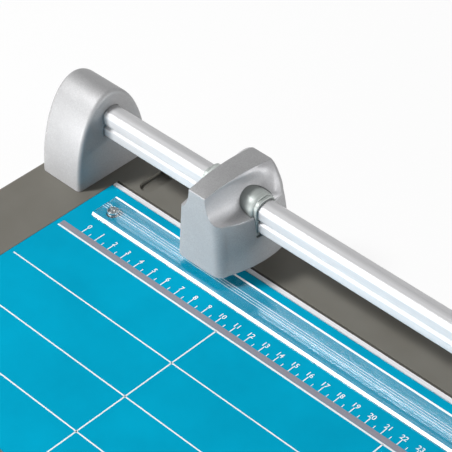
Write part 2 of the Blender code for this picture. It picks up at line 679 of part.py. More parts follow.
def add_feet():
    for number, place in enumerate(foot_places(), 1):
        top = UNDERSIDE_HEIGHT + FOOT_SEAT - SEAT_GAP
        radius = FOOT_DIAMETER / 2
        profile = [(radius - BASE_EDGE / 2, 0.0), (radius, BASE_EDGE / 2), (radius, top)]
        add_piece(f"rubber_foot_{number}", turned(profile, "Z", place), rubber)


def add_clamp():
    groove_rear = strip_rear - STRIP_GROOVE_INSET
    groove_front = groove_rear - STRIP_GROOVE_WIDTH
    groove_z = strip_top - STRIP_GROOVE_DEPTH
    section = [(strip_front, strip_foot), (strip_rear, strip_foot), (strip_rear, strip_top),
               (groove_rear, strip_top), (groove_rear, groove_z), (groove_front, groove_z),
               (groove_front, strip_top), (strip_front + STRIP_BEVEL, strip_top)]
    strip = prism(section, "X", -strip_half_length, strip_half_length)
    strip = add_piece("clamp_strip", strip, clear_plastic, clamp)
    seat = strip_top - PIN_HEAD_LENGTH - SEAT_GAP
    holes = bmesh.new()
    foot = pin_boss_foot - SEAT_GAP - PIN_RING_THICKNESS
    for side, word in ((-1, "left"), (1, "right")):
        place = (side * pin_x, pin_y)
        screw_hole(holes, "Z", place, seat, -1, strip_top + STRIP_THICKNESS, PIN_HEAD_DIAMETER,
                   PIN_DIAMETER, 2 * STRIP_THICKNESS)
        pin = screw("Z", place, seat, -1, PIN_HEAD_DIAMETER, PIN_HEAD_LENGTH, PIN_DIAMETER, seat - foot)
        add_piece(f"{word}_guide_pin", pin, steel, clamp)
        ring = washer(PIN_DIAMETER / 2 + SEAT_GAP, PIN_RING_DIAMETER / 2, "Z", place, foot,
                      foot + PIN_RING_THICKNESS)
        add_piece(f"{word}_pin_ring", ring, spring_steel, clamp)
        low = spring_pocket_floor + SEAT_GAP + SPRING_WIRE / 2
        high = strip_foot - SEAT_GAP - SPRING_WIRE / 2
        wire = coil(SPRING_RADIUS, SPRING_WIRE, CLAMP_SPRING_TURNS, "Z", place, low, high)
        add_piece(f"{word}_clamp_spring", wire, spring_steel)
    combine(strip, "pin_holes", holes)


def add_head():
    foot = TABLE_HEIGHT + HEAD_UNDERSIDE
    hood = add_piece("head_hood", hood_body(0.0, foot), hood_plastic, carriage)
    combine(hood, "hood_hollow", hood_body(HOOD_WALL, foot - HOOD_WALL))
    pillars = bmesh.new()
    holes = bmesh.new()
    pillar_foot = carrier_top + SEAT_GAP
    pillar_top = head_top - HOOD_WALL / 2
    for y in hood_boss_y:
        turned([(hood_boss_radius, pillar_foot), (hood_boss_radius, pillar_top)], "Z",
               (HEAD_REST, y), pillars)
        bore = SCREW_SHANK / 2 + SCREW_CLEARANCE
        turned([(bore, pillar_foot - SEAT_GAP), (bore, carrier_top + SCREW_GRIP + SEAT_GAP)],
               "Z", (HEAD_REST, y), holes)
    combine(hood, "hood_pillars", pillars, "UNION")
    reach = head_reach + HOOD_WALL
    passage = prism(collar_outline(SEAT_GAP), "X", HEAD_REST - reach, HEAD_REST + reach)
    combine(hood, "collar_passage", passage)
    combine(hood, "hood_screw_holes", holes)

    for side, word in ((-1, "left"), (1, "right")):
        near = HEAD_REST + side * COLLAR_INNER_END
        far = HEAD_REST + side * COLLAR_REACH
        collar = add_piece(f"{word}_rail_collar", prism(collar_outline(), "X", near, far), collar_plastic,
                           carriage)
        overrun = side * COLLAR_WALL
        combine(collar, f"{word}_collar_bore",
                prism(rail_outline(SLIDE_GAP), "X", near - overrun, far + overrun))

    legs = ((front_leg - CARRIER_SHEET, front_leg), (rear_leg, rear_leg + CARRIER_SHEET))
    near = head_front + HOOD_WALL + SEAT_GAP
    far = head_rear - HOOD_WALL - SEAT_GAP
    section = [(near, carrier_plate)]
    for low, high in legs:
        section += [(low, carrier_plate), (low, carrier_foot), (high, carrier_foot), (high, carrier_plate)]
    section += [(far, carrier_plate), (far, carrier_top), (near, carrier_top)]
    left = HEAD_REST - CARRIER_HALF_WIDTH
    right = HEAD_REST + CARRIER_HALF_WIDTH
    carrier = add_piece("blade_carrier", prism(section, "X", left, right), steel, carriage)
    drilled = bmesh.new()
    bore = AXLE_DIAMETER / 2 + SEAT_GAP
    turned([(bore, legs[0][0] - CARRIER_SHEET), (bore, legs[1][1] + CARRIER_SHEET)], "Y",
           (HEAD_REST, blade_z), drilled)
    for y in hood_boss_y:
        bore = SCREW_SHANK / 2 + SCREW_CLEARANCE
        turned([(bore, carrier_plate - SEAT_GAP), (bore, carrier_top + SEAT_GAP)], "Z",
               (HEAD_REST, y), drilled)
    combine(carrier, "carrier_holes", drilled)
    for place, y in zip(("front", "rear"), hood_boss_y):
        seat = carrier_plate - SEAT_GAP
        body = screw("Z", (HEAD_REST, y), seat, 1, SCREW_HEAD, SCREW_HEAD_LENGTH, SCREW_SHANK,
                     carrier_top + SCREW_GRIP - seat)
        add_piece(f"hood_screw_{place}", body, steel, carriage)

    shoe_front = hood_boss_y[0] + SCREW_HEAD / 2 + SCREW_CLEARANCE
    shoe_rear = shoe_front + SHOE_DEPTH
    shoe = rectangle((HEAD_REST - SHOE_HALF_WIDTH, shoe_front), (HEAD_REST + SHOE_HALF_WIDTH, shoe_rear))
    shoe = prism(shoe, "Z", strip_top + SEAT_GAP, carrier_plate - SEAT_GAP)
    round_edges(add_piece("press_shoe", shoe, hub_plastic, carriage), SHOE_DEPTH / 5)

    axle_start = legs[0][0] - SEAT_GAP
    clip_start = legs[1][1] + SEAT_GAP
    axle = screw("Y", (HEAD_REST, blade_z), axle_start, 1, AXLE_HEAD_DIAMETER, AXLE_HEAD_LENGTH,
                 AXLE_DIAMETER, clip_start + 2 * CLIP_THICKNESS - axle_start)
    add_piece("blade_axle", axle, steel, carriage)
    clip = washer(AXLE_DIAMETER / 2 + SEAT_GAP, CLIP_DIAMETER / 2, "Y", (HEAD_REST, blade_z), clip_start,
                  clip_start + CLIP_THICKNESS)
    add_piece("axle_clip", clip, spring_steel, carriage)
    low = hub_nut_rear + SEAT_GAP + SPRING_WIRE / 2
    high = low + BLADE_SPRING_LENGTH - SPRING_WIRE
    wire = coil(SPRING_RADIUS + SPRING_WIRE, SPRING_WIRE, BLADE_SPRING_TURNS, "Y", (HEAD_REST, blade_z),
                low, high)
    add_piece("blade_spring", wire, spring_steel, carriage)


def add_blade():
    centre = (HEAD_REST, blade_z)
    bore = AXLE_DIAMETER / 2 + SEAT_GAP
    spigot = SPIGOT_DIAMETER / 2
    flange_front = front_leg + SEAT_GAP
    flange_rear = blade_y - BLADE_THICKNESS / 2 - SEAT_GAP
    hub = [(bore, flange_front), (HUB_DIAMETER / 2, flange_front), (HUB_DIAMETER / 2, flange_rear),
           (spigot, flange_rear), (spigot, hub_nut_rear), (bore, hub_nut_rear)]
    add_piece("blade_hub", turned(hub, "Y", centre, closed=True), hub_plastic, blade_axis)
    edge = BLADE_DIAMETER / 2
    face = blade_y - BLADE_THICKNESS / 2
    back = blade_y + BLADE_THICKNESS / 2
    hole = spigot + SEAT_GAP
    disc = [(hole, face), (edge, face), (edge - 2 * BLADE_THICKNESS, back), (hole, back)]
    add_piece("rotary_blade", turned(disc, "Y", centre, closed=True), steel, blade_axis)
    nut = washer(hole, HUB_DIAMETER / 2, "Y", centre, hub_nut_front, hub_nut_rear)
    add_piece("hub_nut", nut, hub_plastic, blade_axis)


add_base()
add_table()
add_ends()
add_rail()
add_feet()
add_clamp()
add_head()
add_blade()
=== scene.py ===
import math

import bmesh
import bpy
import numpy as np
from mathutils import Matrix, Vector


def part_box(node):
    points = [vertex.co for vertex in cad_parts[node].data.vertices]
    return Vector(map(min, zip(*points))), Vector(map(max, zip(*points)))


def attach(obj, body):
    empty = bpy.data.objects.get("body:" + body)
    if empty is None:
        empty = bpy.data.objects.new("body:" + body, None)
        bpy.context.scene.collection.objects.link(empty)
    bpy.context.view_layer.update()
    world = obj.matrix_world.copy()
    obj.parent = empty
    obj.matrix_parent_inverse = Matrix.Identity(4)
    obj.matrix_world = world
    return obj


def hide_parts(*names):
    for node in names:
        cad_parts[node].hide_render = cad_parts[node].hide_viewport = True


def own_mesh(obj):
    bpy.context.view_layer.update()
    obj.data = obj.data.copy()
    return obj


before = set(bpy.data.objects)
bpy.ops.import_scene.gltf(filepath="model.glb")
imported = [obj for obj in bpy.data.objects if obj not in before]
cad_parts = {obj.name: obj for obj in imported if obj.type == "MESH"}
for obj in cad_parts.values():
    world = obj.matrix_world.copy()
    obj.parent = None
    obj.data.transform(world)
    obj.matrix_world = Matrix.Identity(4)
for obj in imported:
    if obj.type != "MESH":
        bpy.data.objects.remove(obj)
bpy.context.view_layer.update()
scene = bpy.context.scene
mm = 0.001
axisHole = 0.02 * mm          # turned pieces start this far from their axis, and the end cap closes the rest
merging = {"points": 0.0005, "slivers": 0.0002, "cadPoints": 0.001, "flat": 0.5}    # mm, and degrees for flat
print("frame loaded:", len(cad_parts), "nodes")


# Places read from the frame

def nodeBox(node):
    # a node's lowest and highest corner
    low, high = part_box(node)
    return np.array(low), np.array(high)


railLow, railHigh = nodeBox("rail")
railY, railZ = (railLow + railHigh)[1:] / 2
hoodLow, hoodHigh = nodeBox("head_hood")
headX = (hoodLow + hoodHigh)[0] / 2
tableLow, tableHigh = nodeBox("table_plate")
tableZ = tableHigh[2]
stripLow, stripHigh = nodeBox("clamp_strip")
bladeLow, bladeHigh = nodeBox("rotary_blade")
bladeZ = (bladeLow + bladeHigh)[2] / 2


# Mesh tools

def place(axis, a, b, t):
    # section coordinates a and b, and the distance t along the axis, stacked into points
    order = {"X": (t, a, b), "Y": (a, t, b), "Z": (a, b, t)}[axis]
    return np.stack(np.broadcast_arrays(*order), -1)


def between(first, last, share):
    # a share of the way from one value to another
    return first + (last - first) * share


def arcPoints(centre, radius, start, end, steps):
    # a circle's arc, angles in degrees
    angle = np.radians(np.linspace(start, end, steps + 1))
    return np.stack([centre[0] + radius * np.cos(angle), centre[1] + radius * np.sin(angle)], -1)


def softened(corners, radius, steps=3, ring=True):
    # each corner becomes a short parabola that leaves and rejoins its two edges at the given distance
    most = 0.45               # share of an edge that one corner may take
    corners = np.asarray(corners, float)
    before = np.roll(corners, 1, 0) - corners
    after = np.roll(corners, -1, 0) - corners
    reach = np.broadcast_to(np.asarray(radius, float), len(corners))[:, None]
    lengths = [np.linalg.norm(edge, axis=1, keepdims=True) for edge in (before, after)]
    first = corners + before / lengths[0] * np.minimum(reach, most * lengths[0])
    last = corners + after / lengths[1] * np.minimum(reach, most * lengths[1])
    s = np.linspace(0, 1, steps + 1)[None, :, None]
    curve = ((1 - s) ** 2 * first[:, None] + 2 * s * (1 - s) * corners[:, None]
             + s ** 2 * last[:, None])
    if ring:
        return curve.reshape(-1, 2)
    return np.vstack([corners[:1], curve[1:-1].reshape(-1, 2), corners[-1:]])


def gridFaces(rows, columns, wrapRows=False):
    # a face between each four neighbours on a grid of closed rings
    index = np.arange(rows * columns).reshape(rows, columns)
    if wrapRows:
        index = np.vstack([index, index[:1]])
    index = np.hstack([index, index[:, :1]])
    corners = [index[:-1, :-1], index[:-1, 1:], index[1:, 1:], index[1:, :-1]]
    return np.stack(corners, -1).reshape(-1, 4).tolist()


def skin(rows, wrapRows=False, capped=True):
    # a grid of closed rings as points and faces; the end rings are capped unless the grid closes on itself
    count, columns = rows.shape[:2]
    faces = gridFaces(count, columns, wrapRows)
    if capped and not wrapRows:
        faces += [list(range(columns)), list(range((count - 1) * columns, count * columns))]
    return rows.reshape(-1, 3), faces


def extruded(outline, axis, stations):
    # an outline repeated at each station along an axis
    outline = np.asarray(outline)
    rows = place(axis, outline[None, :, 0], outline[None, :, 1], np.asarray(stations)[:, None])
    return skin(rows)


def turned(profile, axis, centre, sides, wrapRows=False):
    # a profile of (radius, distance along the axis) carried round the axis
    profile = np.asarray(profile)
    angle = np.linspace(0, 2 * np.pi, sides, endpoint=False)[None, :]
    radius = profile[:, :1]
    rows = place(axis, centre[0] + radius * np.cos(angle), centre[1] + radius * np.sin(angle),
                 profile[:, 1:])
    return skin(rows, wrapRows)


def ringCorners(bore, rim, low, high):
    # a plain ring's profile for turned
    return [(bore, low), (rim, low), (rim, high), (bore, high)]


def joined(*shapes):
    # several point and face sets as one
    points, faces, start = [], [], 0
    for shapePoints, shapeFaces in shapes:
        points.append(shapePoints)
        faces += [[corner + start for corner in face] for face in shapeFaces]
        start += len(shapePoints)
    return np.vstack(points), faces


def meshOf(name, shape, sharp, kinds=None):
    # points and faces as a clean mesh that faces outwards; kinds: a material slot for each face, if not one
    mesh = bpy.data.meshes.new(name)
    mesh.from_pydata(shape[0].tolist(), [], shape[1])
    if kinds is not None:
        for _ in range(int(kinds.max()) + 1):
            mesh.materials.append(None)
        mesh.polygons.foreach_set("material_index", kinds.astype(np.int32))
    bm = bmesh.new()
    bm.from_mesh(mesh)
    bmesh.ops.remove_doubles(bm, verts=bm.verts, dist=merging["points"] * mm)
    bmesh.ops.dissolve_degenerate(bm, edges=bm.edges, dist=merging["slivers"] * mm)
    bmesh.ops.recalc_face_normals(bm, faces=bm.faces)
    bm.to_mesh(mesh)
    bm.free()
    smoothed(mesh, sharp)
    return mesh


def smoothed(mesh, sharp):
    # smooth shading, with edges over the sharp angle left crisp
    mesh.shade_smooth()
    mesh.set_sharp_from_angle(angle=math.radians(sharp))


def addPiece(name, shape, material, body, nodes=(), sharp=35):
    # a shape or a finished mesh as an object that moves with a body and stands for the named CAD nodes
    mesh = shape if isinstance(shape, bpy.types.Mesh) else meshOf(name, shape, sharp)
    mesh.materials.clear()
    mesh.materials.append(material)
    piece = bpy.data.objects.new(name, mesh)
    scene.collection.objects.link(piece)
    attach(piece, body)
    if nodes:
        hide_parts(*nodes)
    return piece


def cutAway(name, shape, cutters, sharp, kinds=None):
    # a mesh with the cutters' shapes taken out of it
    body = bpy.data.objects.new(name, meshOf(name + "_blank", shape, sharp, kinds))
    toolName = name + "_cutter"
    tools = [bpy.data.objects.new(toolName, meshOf(toolName, cutter, sharp)) for cutter in cutters]
    for thing in [body, *tools]:
        scene.collection.objects.link(thing)
    for tool in tools:
        step = body.modifiers.new("cut", "BOOLEAN")
        step.operation = "DIFFERENCE"
        step.object = tool
    graph = bpy.context.evaluated_depsgraph_get()
    mesh = bpy.data.meshes.new_from_object(body.evaluated_get(graph))
    for thing in [body, *tools]:
        bpy.data.objects.remove(thing, do_unlink=True)
    mesh.name = name
    smoothed(mesh, sharp)
    return mesh


def mergedCopy(node, sharp):
    # a CAD node's loose triangles merged into one smooth mesh
    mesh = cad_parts[node].data.copy()
    bm = bmesh.new()
    bm.from_mesh(mesh)
    bmesh.ops.remove_doubles(bm, verts=bm.verts, dist=merging["cadPoints"] * mm)
    bmesh.ops.dissolve_limit(bm, angle_limit=math.radians(merging["flat"]), verts=bm.verts, edges=bm.edges)
    bm.to_mesh(mesh)
    bm.free()
    mesh.name = node + "_fine"
    smoothed(mesh, sharp)
    return mesh


# Material tools

def linearColour(hexColour):
    # the sRGB curve undone, channel by channel
    channels = np.array([int(hexColour[i:i + 2], 16) for i in (1, 3, 5)]) / 255
    linear = np.where(channels <= 0.04045, channels / 12.92, ((channels + 0.055) / 1.055) ** 2.4)
    return (*linear.tolist(), 1.0)


def addNode(tree, kind, sockets=None, **settings):
    # sockets: an input's name or number, and a constant or another node's output
    node = tree.nodes.new("ShaderNode" + kind)
    for name, value in settings.items():
        setattr(node, name, value)
    for key, value in (sockets or {}).items():
        if isinstance(value, bpy.types.NodeSocket):
            tree.links.new(value, node.inputs[key])
        else:
            node.inputs[key].default_value = value
    return node


def startMaterial(name, sockets):
    # a material with its even values set on the shader, ready for patterns on Object coordinates
    material = bpy.data.materials.new(name)
    material.use_nodes = True
    tree = material.node_tree
    shader = tree.nodes["Principled BSDF"]
    for key, value in sockets.items():
        shader.inputs[key].default_value = value
    where = addNode(tree, "TexCoord").outputs["Object"]
    return material, tree, shader, where


def perSize(*sizes):
    # a pattern's scale from its real size in millimetres, one for all axes or one for each
    scales = [1 / (size * mm) for size in sizes]
    return scales if len(scales) > 1 else scales[0]


def patternSurface(tree, shader, tone, colours, grain, roughness, relief=None,
                   toneRange=(0.3, 0.7), grainRange=(0.3, 0.7)):
    # the tone's noise blends two colours; the grain's noise spreads the roughness between two values and,
    # where a relief of (depth in mm, strength) is given, bumps the surface
    share = addNode(tree, "MapRange", {"Value": tone, 1: toneRange[0], 2: toneRange[1], 3: 0.0, 4: 1.0})
    ends = {6: linearColour(colours[0]), 7: linearColour(colours[1])}
    mixed = addNode(tree, "Mix", {0: share.outputs["Result"], **ends}, data_type="RGBA")
    tree.links.new(mixed.outputs[2], shader.inputs["Base Color"])
    limits = {1: grainRange[0], 2: grainRange[1], 3: roughness[0], 4: roughness[1]}
    spread = addNode(tree, "MapRange", {"Value": grain, **limits})
    tree.links.new(spread.outputs["Result"], shader.inputs["Roughness"])
    if relief:
        bump = addNode(tree, "Bump", {"Height": grain, "Distance": relief[0] * mm, "Strength": relief[1]})
        tree.links.new(bump.outputs["Normal"], shader.inputs["Normal"])


def mouldedGreyAbs():
    # injection moulded ABS from a spark-eroded tool: a fine even grain, dull, with faint flow tones
    material, tree, shader, where = startMaterial("moulded_grey_abs",
                                                  {"IOR": 1.53, "Specular IOR Level": 0.25})
    grain = addNode(tree, "TexNoise", {"Vector": where, "Scale": perSize(0.5), "Detail": 3.0}).outputs["Fac"]
    flow = addNode(tree, "TexNoise", {"Vector": where, "Scale": perSize(45), "Detail": 3.0}).outputs["Fac"]
    patternSurface(tree, shader, flow, ("#6d6a62", "#797770"), grain, (0.45, 0.6), relief=(0.03, 0.35))
    return material


def printedBlueFilm():
    # screen-printed blue film under a matt lacquer: a strong even colour, hardly any white gloss over it
    material, tree, shader, where = startMaterial("printed_blue_film",
                                                  {"IOR": 1.5, "Specular IOR Level": 0.03})
    cloud = addNode(tree, "TexNoise", {"Vector": where, "Scale": perSize(28), "Detail": 4.0}).outputs["Fac"]
    pores = addNode(tree, "TexNoise", {"Vector": where, "Scale": perSize(0.7), "Detail": 2.0}).outputs["Fac"]
    patternSurface(tree, shader, cloud, ("#009fc4", "#00a8ce"), pores, (0.45, 0.55), relief=(0.004, 0.4))
    return material


def screenInk(name, *colours):
    # opaque screen ink, a little chalky, with the mesh's fine speckle
    material, tree, shader, where = startMaterial(name, {"IOR": 1.48})
    dots = addNode(tree, "TexNoise", {"Vector": where, "Scale": perSize(0.35), "Detail": 2.0}).outputs["Fac"]
    patternSurface(tree, shader, dots, colours, dots, (0.4, 0.6))
    return material


def anodisedAluminium():
    # extruded, etched and anodised: a white satin that scatters light, very fine die lines along its length
    material, tree, shader, where = startMaterial("satin_anodised_aluminium", {"Metallic": 0.22})
    drawn = addNode(tree, "Mapping", {"Vector": where, "Scale": perSize(60, 0.5, 0.5)}).outputs["Vector"]
    lines = addNode(tree, "TexNoise", {"Vector": drawn, "Scale": 1.0, "Detail": 4.0}).outputs["Fac"]
    patternSurface(tree, shader, lines, ("#c0c0c2", "#cbcbcc"), lines, (0.4, 0.5), relief=(0.004, 0.2))
    return material


def groundSteel(name, metallic, *colours):
    # surface-ground tool steel: bright, grinding lines along the edge, drawn wider than life to show
    material, tree, shader, where = startMaterial(name, {"Metallic": metallic})
    ground = addNode(tree, "Mapping", {"Vector": where, "Scale": perSize(25, 0.25, 0.25)}).outputs["Vector"]
    lines = addNode(tree, "TexNoise", {"Vector": ground, "Scale": 1.0, "Detail": 3.0}).outputs["Fac"]
    patternSurface(tree, shader, lines, colours, lines, (0.3, 0.45), relief=(0.008, 0.4))
    return material


def silverPaintedAbs(name, metallic, *colours):
    # ABS with a fine-flake silver paint: soft sheen, a fine sparkle, flakes drawn larger than life to show
    material, tree, shader, where = startMaterial(name, {"IOR": 1.5, "Metallic": metallic})
    flakes = addNode(tree, "TexVoronoi", {"Vector": where, "Scale": perSize(0.45)})
    tone = addNode(tree, "SeparateColor", {"Color": flakes.outputs["Color"]})
    haze = addNode(tree, "TexNoise", {"Vector": where, "Scale": perSize(14), "Detail": 3.0}).outputs["Fac"]
    share = addNode(tree, "Math", {0: tone.outputs["Red"], 1: haze}, operation="MULTIPLY")
    patternSurface(tree, shader, share.outputs["Value"], colours, tone.outputs["Green"], (0.48, 0.58),
                   toneRange=(0.05, 0.6), grainRange=(0.0, 1.0))
    grain = addNode(tree, "TexNoise", {"Vector": where, "Scale": perSize(0.4), "Detail": 2.0}).outputs["Fac"]
    bump = addNode(tree, "Bump", {"Height": grain, "Distance": 0.012 * mm, "Strength": 0.35})
    tree.links.new(bump.outputs["Normal"], shader.inputs["Normal"])
    return material


def greyAcetal():
    # turned grey acetal with a metallic filler: waxy, a broad soft highlight, faint tool marks round it
    material, tree, shader, where = startMaterial("grey_acetal", {"IOR": 1.48, "Metallic": 0.25})
    marks = addNode(tree, "Mapping", {"Vector": where, "Scale": perSize(0.4, 20, 20)}).outputs["Vector"]
    rings = addNode(tree, "TexNoise", {"Vector": marks, "Scale": 1.0, "Detail": 2.0}).outputs["Fac"]
    patternSurface(tree, shader, rings, ("#a2a8a5", "#b4bab7"), rings, (0.4, 0.5), relief=(0.01, 0.4))
    return material


def whiteAcetal():
    # moulded white acetal: milky and smooth
    material, tree, shader, where = startMaterial("white_acetal", {
        "IOR": 1.48, "Subsurface Weight": 0.1, "Subsurface Radius": (mm, mm, mm)})
    cloud = addNode(tree, "TexNoise", {"Vector": where, "Scale": perSize(3), "Detail": 2.0}).outputs["Fac"]
    patternSurface(tree, shader, cloud, ("#dddbd4", "#eae8e2"), cloud, (0.34, 0.46))
    return material


def clearPolycarbonate():
    # extruded clear polycarbonate with a hard coat: colourless, mirrors the rail, faint handling haze
    material, tree, shader, where = startMaterial("clear_polycarbonate", {
        "IOR": 1.585, "Transmission Weight": 1.0, "Base Color": linearColour("#f0f4f5"),
        "Coat Weight": 1.0, "Coat IOR": 1.64, "Coat Roughness": 0.04})
    smear = addNode(tree, "Mapping", {"Vector": where, "Scale": perSize(30, 4, 4)}).outputs["Vector"]
    haze = addNode(tree, "TexNoise", {"Vector": smear, "Scale": 1.0, "Detail": 3.0}).outputs["Fac"]
    spread = addNode(tree, "MapRange", {"Value": haze, 1: 0.3, 2: 0.7, 3: 0.02, 4: 0.1})
    tree.links.new(spread.outputs["Result"], shader.inputs["Roughness"])
    return material


def milledEdge():
    # the strip's saw-cut and milled edges: frosted, and white as a painted highlight, so they show as white
    # lines
    material, tree, shader, where = startMaterial("frosted_edge_painted_highlight", {"IOR": 1.585})
    drawn = addNode(tree, "Mapping", {"Vector": where, "Scale": perSize(6, 0.3, 0.3)}).outputs["Vector"]
    cuts = addNode(tree, "TexNoise", {"Vector": drawn, "Scale": 1.0, "Detail": 3.0}).outputs["Fac"]
    patternSurface(tree, shader, cuts, ("#eef4f6", "#ffffff"), cuts, (0.3, 0.5))
    return material


def blackRubber():
    # moulded nitrile rubber: near black and dull, with a dusty bloom
    material, tree, shader, where = startMaterial("black_rubber",
                                                  {"IOR": 1.52, "Specular IOR Level": 0.35})
    bloom = addNode(tree, "TexNoise", {"Vector": where, "Scale": perSize(2.5), "Detail": 4.0}).outputs["Fac"]
    patternSurface(tree, shader, bloom, ("#171717", "#292827"), bloom, (0.65, 0.85), relief=(0.03, 0.3))
    return material


def drawnWire(name, *colours):
    # drawn and plated steel: bright, with a slight mottle
    material, tree, shader, where = startMaterial(name, {"Metallic": 1.0})
    mottle = addNode(tree, "TexNoise", {"Vector": where, "Scale": perSize(0.8), "Detail": 3.0}).outputs["Fac"]
    patternSurface(tree, shader, mottle, colours, mottle, (0.22, 0.36))
    return material


greyAbs = mouldedGreyAbs()
blueFilm = printedBlueFilm()
whiteInk = screenInk("white_screen_ink", "#eef3f4", "#fdfefe")
mauveInk = screenInk("mauve_grey_screen_ink", "#8a8593", "#979aa2")
aluminium = anodisedAluminium()
toolSteel = groundSteel("ground_tool_steel", 0.6, "#d2d3da", "#e8e8ef")
# the lower blade's steel is near white and nearly matt: painted sheen, standing in for the bright reflection
# along its top
bladeSteelPaintedSheen = groundSteel("blade_steel_painted_sheen", 0.12, "#f1f1f5", "#ffffff")
silverAbs = silverPaintedAbs("silver_painted_abs", 0.3, "#9b9b9c", "#a8a8a9")
# the scooped ends get a lighter silver: painted light, standing in for the brightness they catch from the
# right
scoopPaintedLightAbs = silverPaintedAbs("silver_abs_painted_light", 0.45, "#aeaeb0", "#bababc")       # in the hood's scooped ends
collarAcetal = greyAcetal()
milkAcetal = whiteAcetal()
clearSheet = clearPolycarbonate()
frostedEdgeHighlight = milledEdge()
footRubber = blackRubber()
springWire = drawnWire("spring_steel_wire", "#7d7f82", "#9b9da0")
zincPlate = drawnWire("zinc_plated_steel", "#b4b6b5", "#cfd1d2")
print("materials made")


# Base, table and lower blade

tray = {"edge": 0.4, "edgeSteps": 2, "edgeAngle": 50, "sharp": 32}      # mm and degrees


def addBase():
    # the moulding with its edges broken; the table and the lower blade keep their CAD shapes
    moulding = mergedCopy("base_tray", tray["sharp"])
    piece = addPiece("base_tray_fine", moulding, greyAbs, "base", ["base_tray"])
    broken = piece.modifiers.new("broken edges", "BEVEL")
    broken.width, broken.segments = tray["edge"] * mm, tray["edgeSteps"]
    broken.limit_method, broken.angle_limit = "ANGLE", math.radians(tray["edgeAngle"])
    weighted = piece.modifiers.new("flat faces stay flat", "WEIGHTED_NORMAL")
    weighted.keep_sharp = True
    for node, material in (("table_plate", blueFilm), ("lower_blade", bladeSteelPaintedSheen)):
        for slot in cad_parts[node].material_slots:
            slot.material = material


foot = {"round": 1.2, "topRound": 0.3, "soft": 0.2, "groove": 0.5,      # mm
        "grooveShares": (0.45, 0.5, 0.6, 0.65), "sides": 64}            # places on the foot's radius


def addFeet():
    # a turned pad with rounded rims and a shallow ring groove in its sole
    for number in range(1, 5):
        node = f"rubber_foot_{number}"
        low, high = nodeBox(node)
        centre = (low + high)[:2] / 2
        radius = (high - low)[0] / 2
        floor = low[2] + foot["groove"] * mm
        ring = [radius * share for share in foot["grooveShares"]]
        corners = [(axisHole, low[2]), (ring[0], low[2]), (ring[1], floor), (ring[2], floor),
                   (ring[3], low[2]), (radius, low[2]), (radius, high[2]), (axisHole, high[2])]
        soft = np.array([0, *[foot["soft"]] * 4, foot["round"], foot["topRound"], 0]) * mm
        pad = turned(softened(corners, soft, 4, ring=False), "Z", centre, foot["sides"])
        addPiece(node + "_fine", pad, footRubber, "base", [node])


# Print on the table

printing = {
    "depth": 0.02,            # of the ink, mm
    "lineY": 26.5, "lineWidth": 1.1,
    "bandY": (27.2, 30.7),
    "scaleStart": -160, "step": 10, "centimetres": 32,
    "tickWidth": 0.55, "tickY": (30.7, 35.0), "halfTickY": (31.0, 33.0), "halfTickShare": 0.8,
    "numeralY": 35.1, "numeralHeight": 3.0, "curveSteps": 3,
    "figureShare": 0.7, "bold": 0.02,      # figures' height in the font's size; stroke added to them
    "guideY": (-5.1, -37.0, -69.0), "guideX": (-55.2, 55.2), "guideWidth": 0.8,
    "edgeInset": 3.0,
}


def slabs(boxes, low, high):
    # closed thin boxes from rows of (x0, x1, y0, y1) in millimetres
    boxes = np.asarray(boxes, float) * mm
    xs = boxes[:, [0, 1, 1, 0]]
    ys = boxes[:, [2, 2, 3, 3]]
    rings = [np.stack([xs, ys, np.full_like(xs, z)], -1) for z in (low, high)]
    points = np.concatenate(rings, 1).reshape(-1, 3)
    sides = np.array([[3, 2, 1, 0], [4, 5, 6, 7], [0, 1, 5, 4], [1, 2, 6, 5], [2, 3, 7, 6], [3, 0, 4, 7]])
    faces = (sides[None] + 8 * np.arange(len(boxes))[:, None, None]).reshape(-1, 4)
    return points, faces.tolist()


def numeralShape(text, x, y, height, low, thickness):
    # the built-in font's figures as a thin solid, centred on x and standing on y
    curve = bpy.data.curves.new("figure", "FONT")
    curve.body = text
    curve.size = height / printing["figureShare"]
    curve.extrude = thickness / 2
    curve.offset = printing["bold"] * height
    curve.resolution_u = printing["curveSteps"]
    figure = bpy.data.objects.new("figure", curve)
    scene.collection.objects.link(figure)
    graph = bpy.context.evaluated_depsgraph_get()
    mesh = bpy.data.meshes.new_from_object(figure.evaluated_get(graph))
    points = np.empty(len(mesh.vertices) * 3, np.float32)
    mesh.vertices.foreach_get("co", points)
    points = points.reshape(-1, 3).astype(float)
    points[:, 0] += x - (points[:, 0].min() + points[:, 0].max()) / 2
    points[:, 1] += y - points[:, 1].min()
    points[:, 2] += low + thickness / 2
    faces = [list(face.vertices) for face in mesh.polygons]
    bpy.data.objects.remove(figure, do_unlink=True)
    bpy.data.meshes.remove(mesh)
    bpy.data.curves.remove(curve)
    return points, faces


def addPrint():
    # every line, mark and figure as a thin closed solid, half sunk into the table
    p = printing
    low, high = tableZ - p["depth"] * mm, tableZ + p["depth"] * mm
    left = tableLow[0] / mm + p["edgeInset"]
    right = tableHigh[0] / mm - p["edgeInset"]
    front = tableLow[1] / mm + p["edgeInset"]
    across = [(p["lineY"], p["lineWidth"])] + [(y, p["guideWidth"]) for y in p["guideY"]]
    rows = [(left, right, y - width / 2, y + width / 2) for y, width in across]
    half = p["guideWidth"] / 2
    rows += [(x - half, x + half, front, p["lineY"]) for x in p["guideX"]]
    tick = p["tickWidth"] / 2
    short = tick * p["halfTickShare"]
    marks = p["scaleStart"] + p["step"] * np.arange(p["centimetres"] + 1)
    rows += [(x - tick, x + tick, *p["tickY"]) for x in marks]
    rows += [(x - short, x + short, *p["halfTickY"]) for x in marks[:-1] + p["step"] / 2]
    lines = slabs(rows, low, high)
    figures = [numeralShape(str(n), x * mm, p["numeralY"] * mm, p["numeralHeight"] * mm, low, high - low)
               for n, x in enumerate(marks)]
    addPiece("white_print", joined(lines, *figures), whiteInk, "base")
    band = slabs([(left, right, *p["bandY"])], low, high)
    addPiece("grey_print_band", band, mauveInk, "base")


addBase()
addFeet()
addPrint()
print("base, feet and print made")


# Rail and end blocks

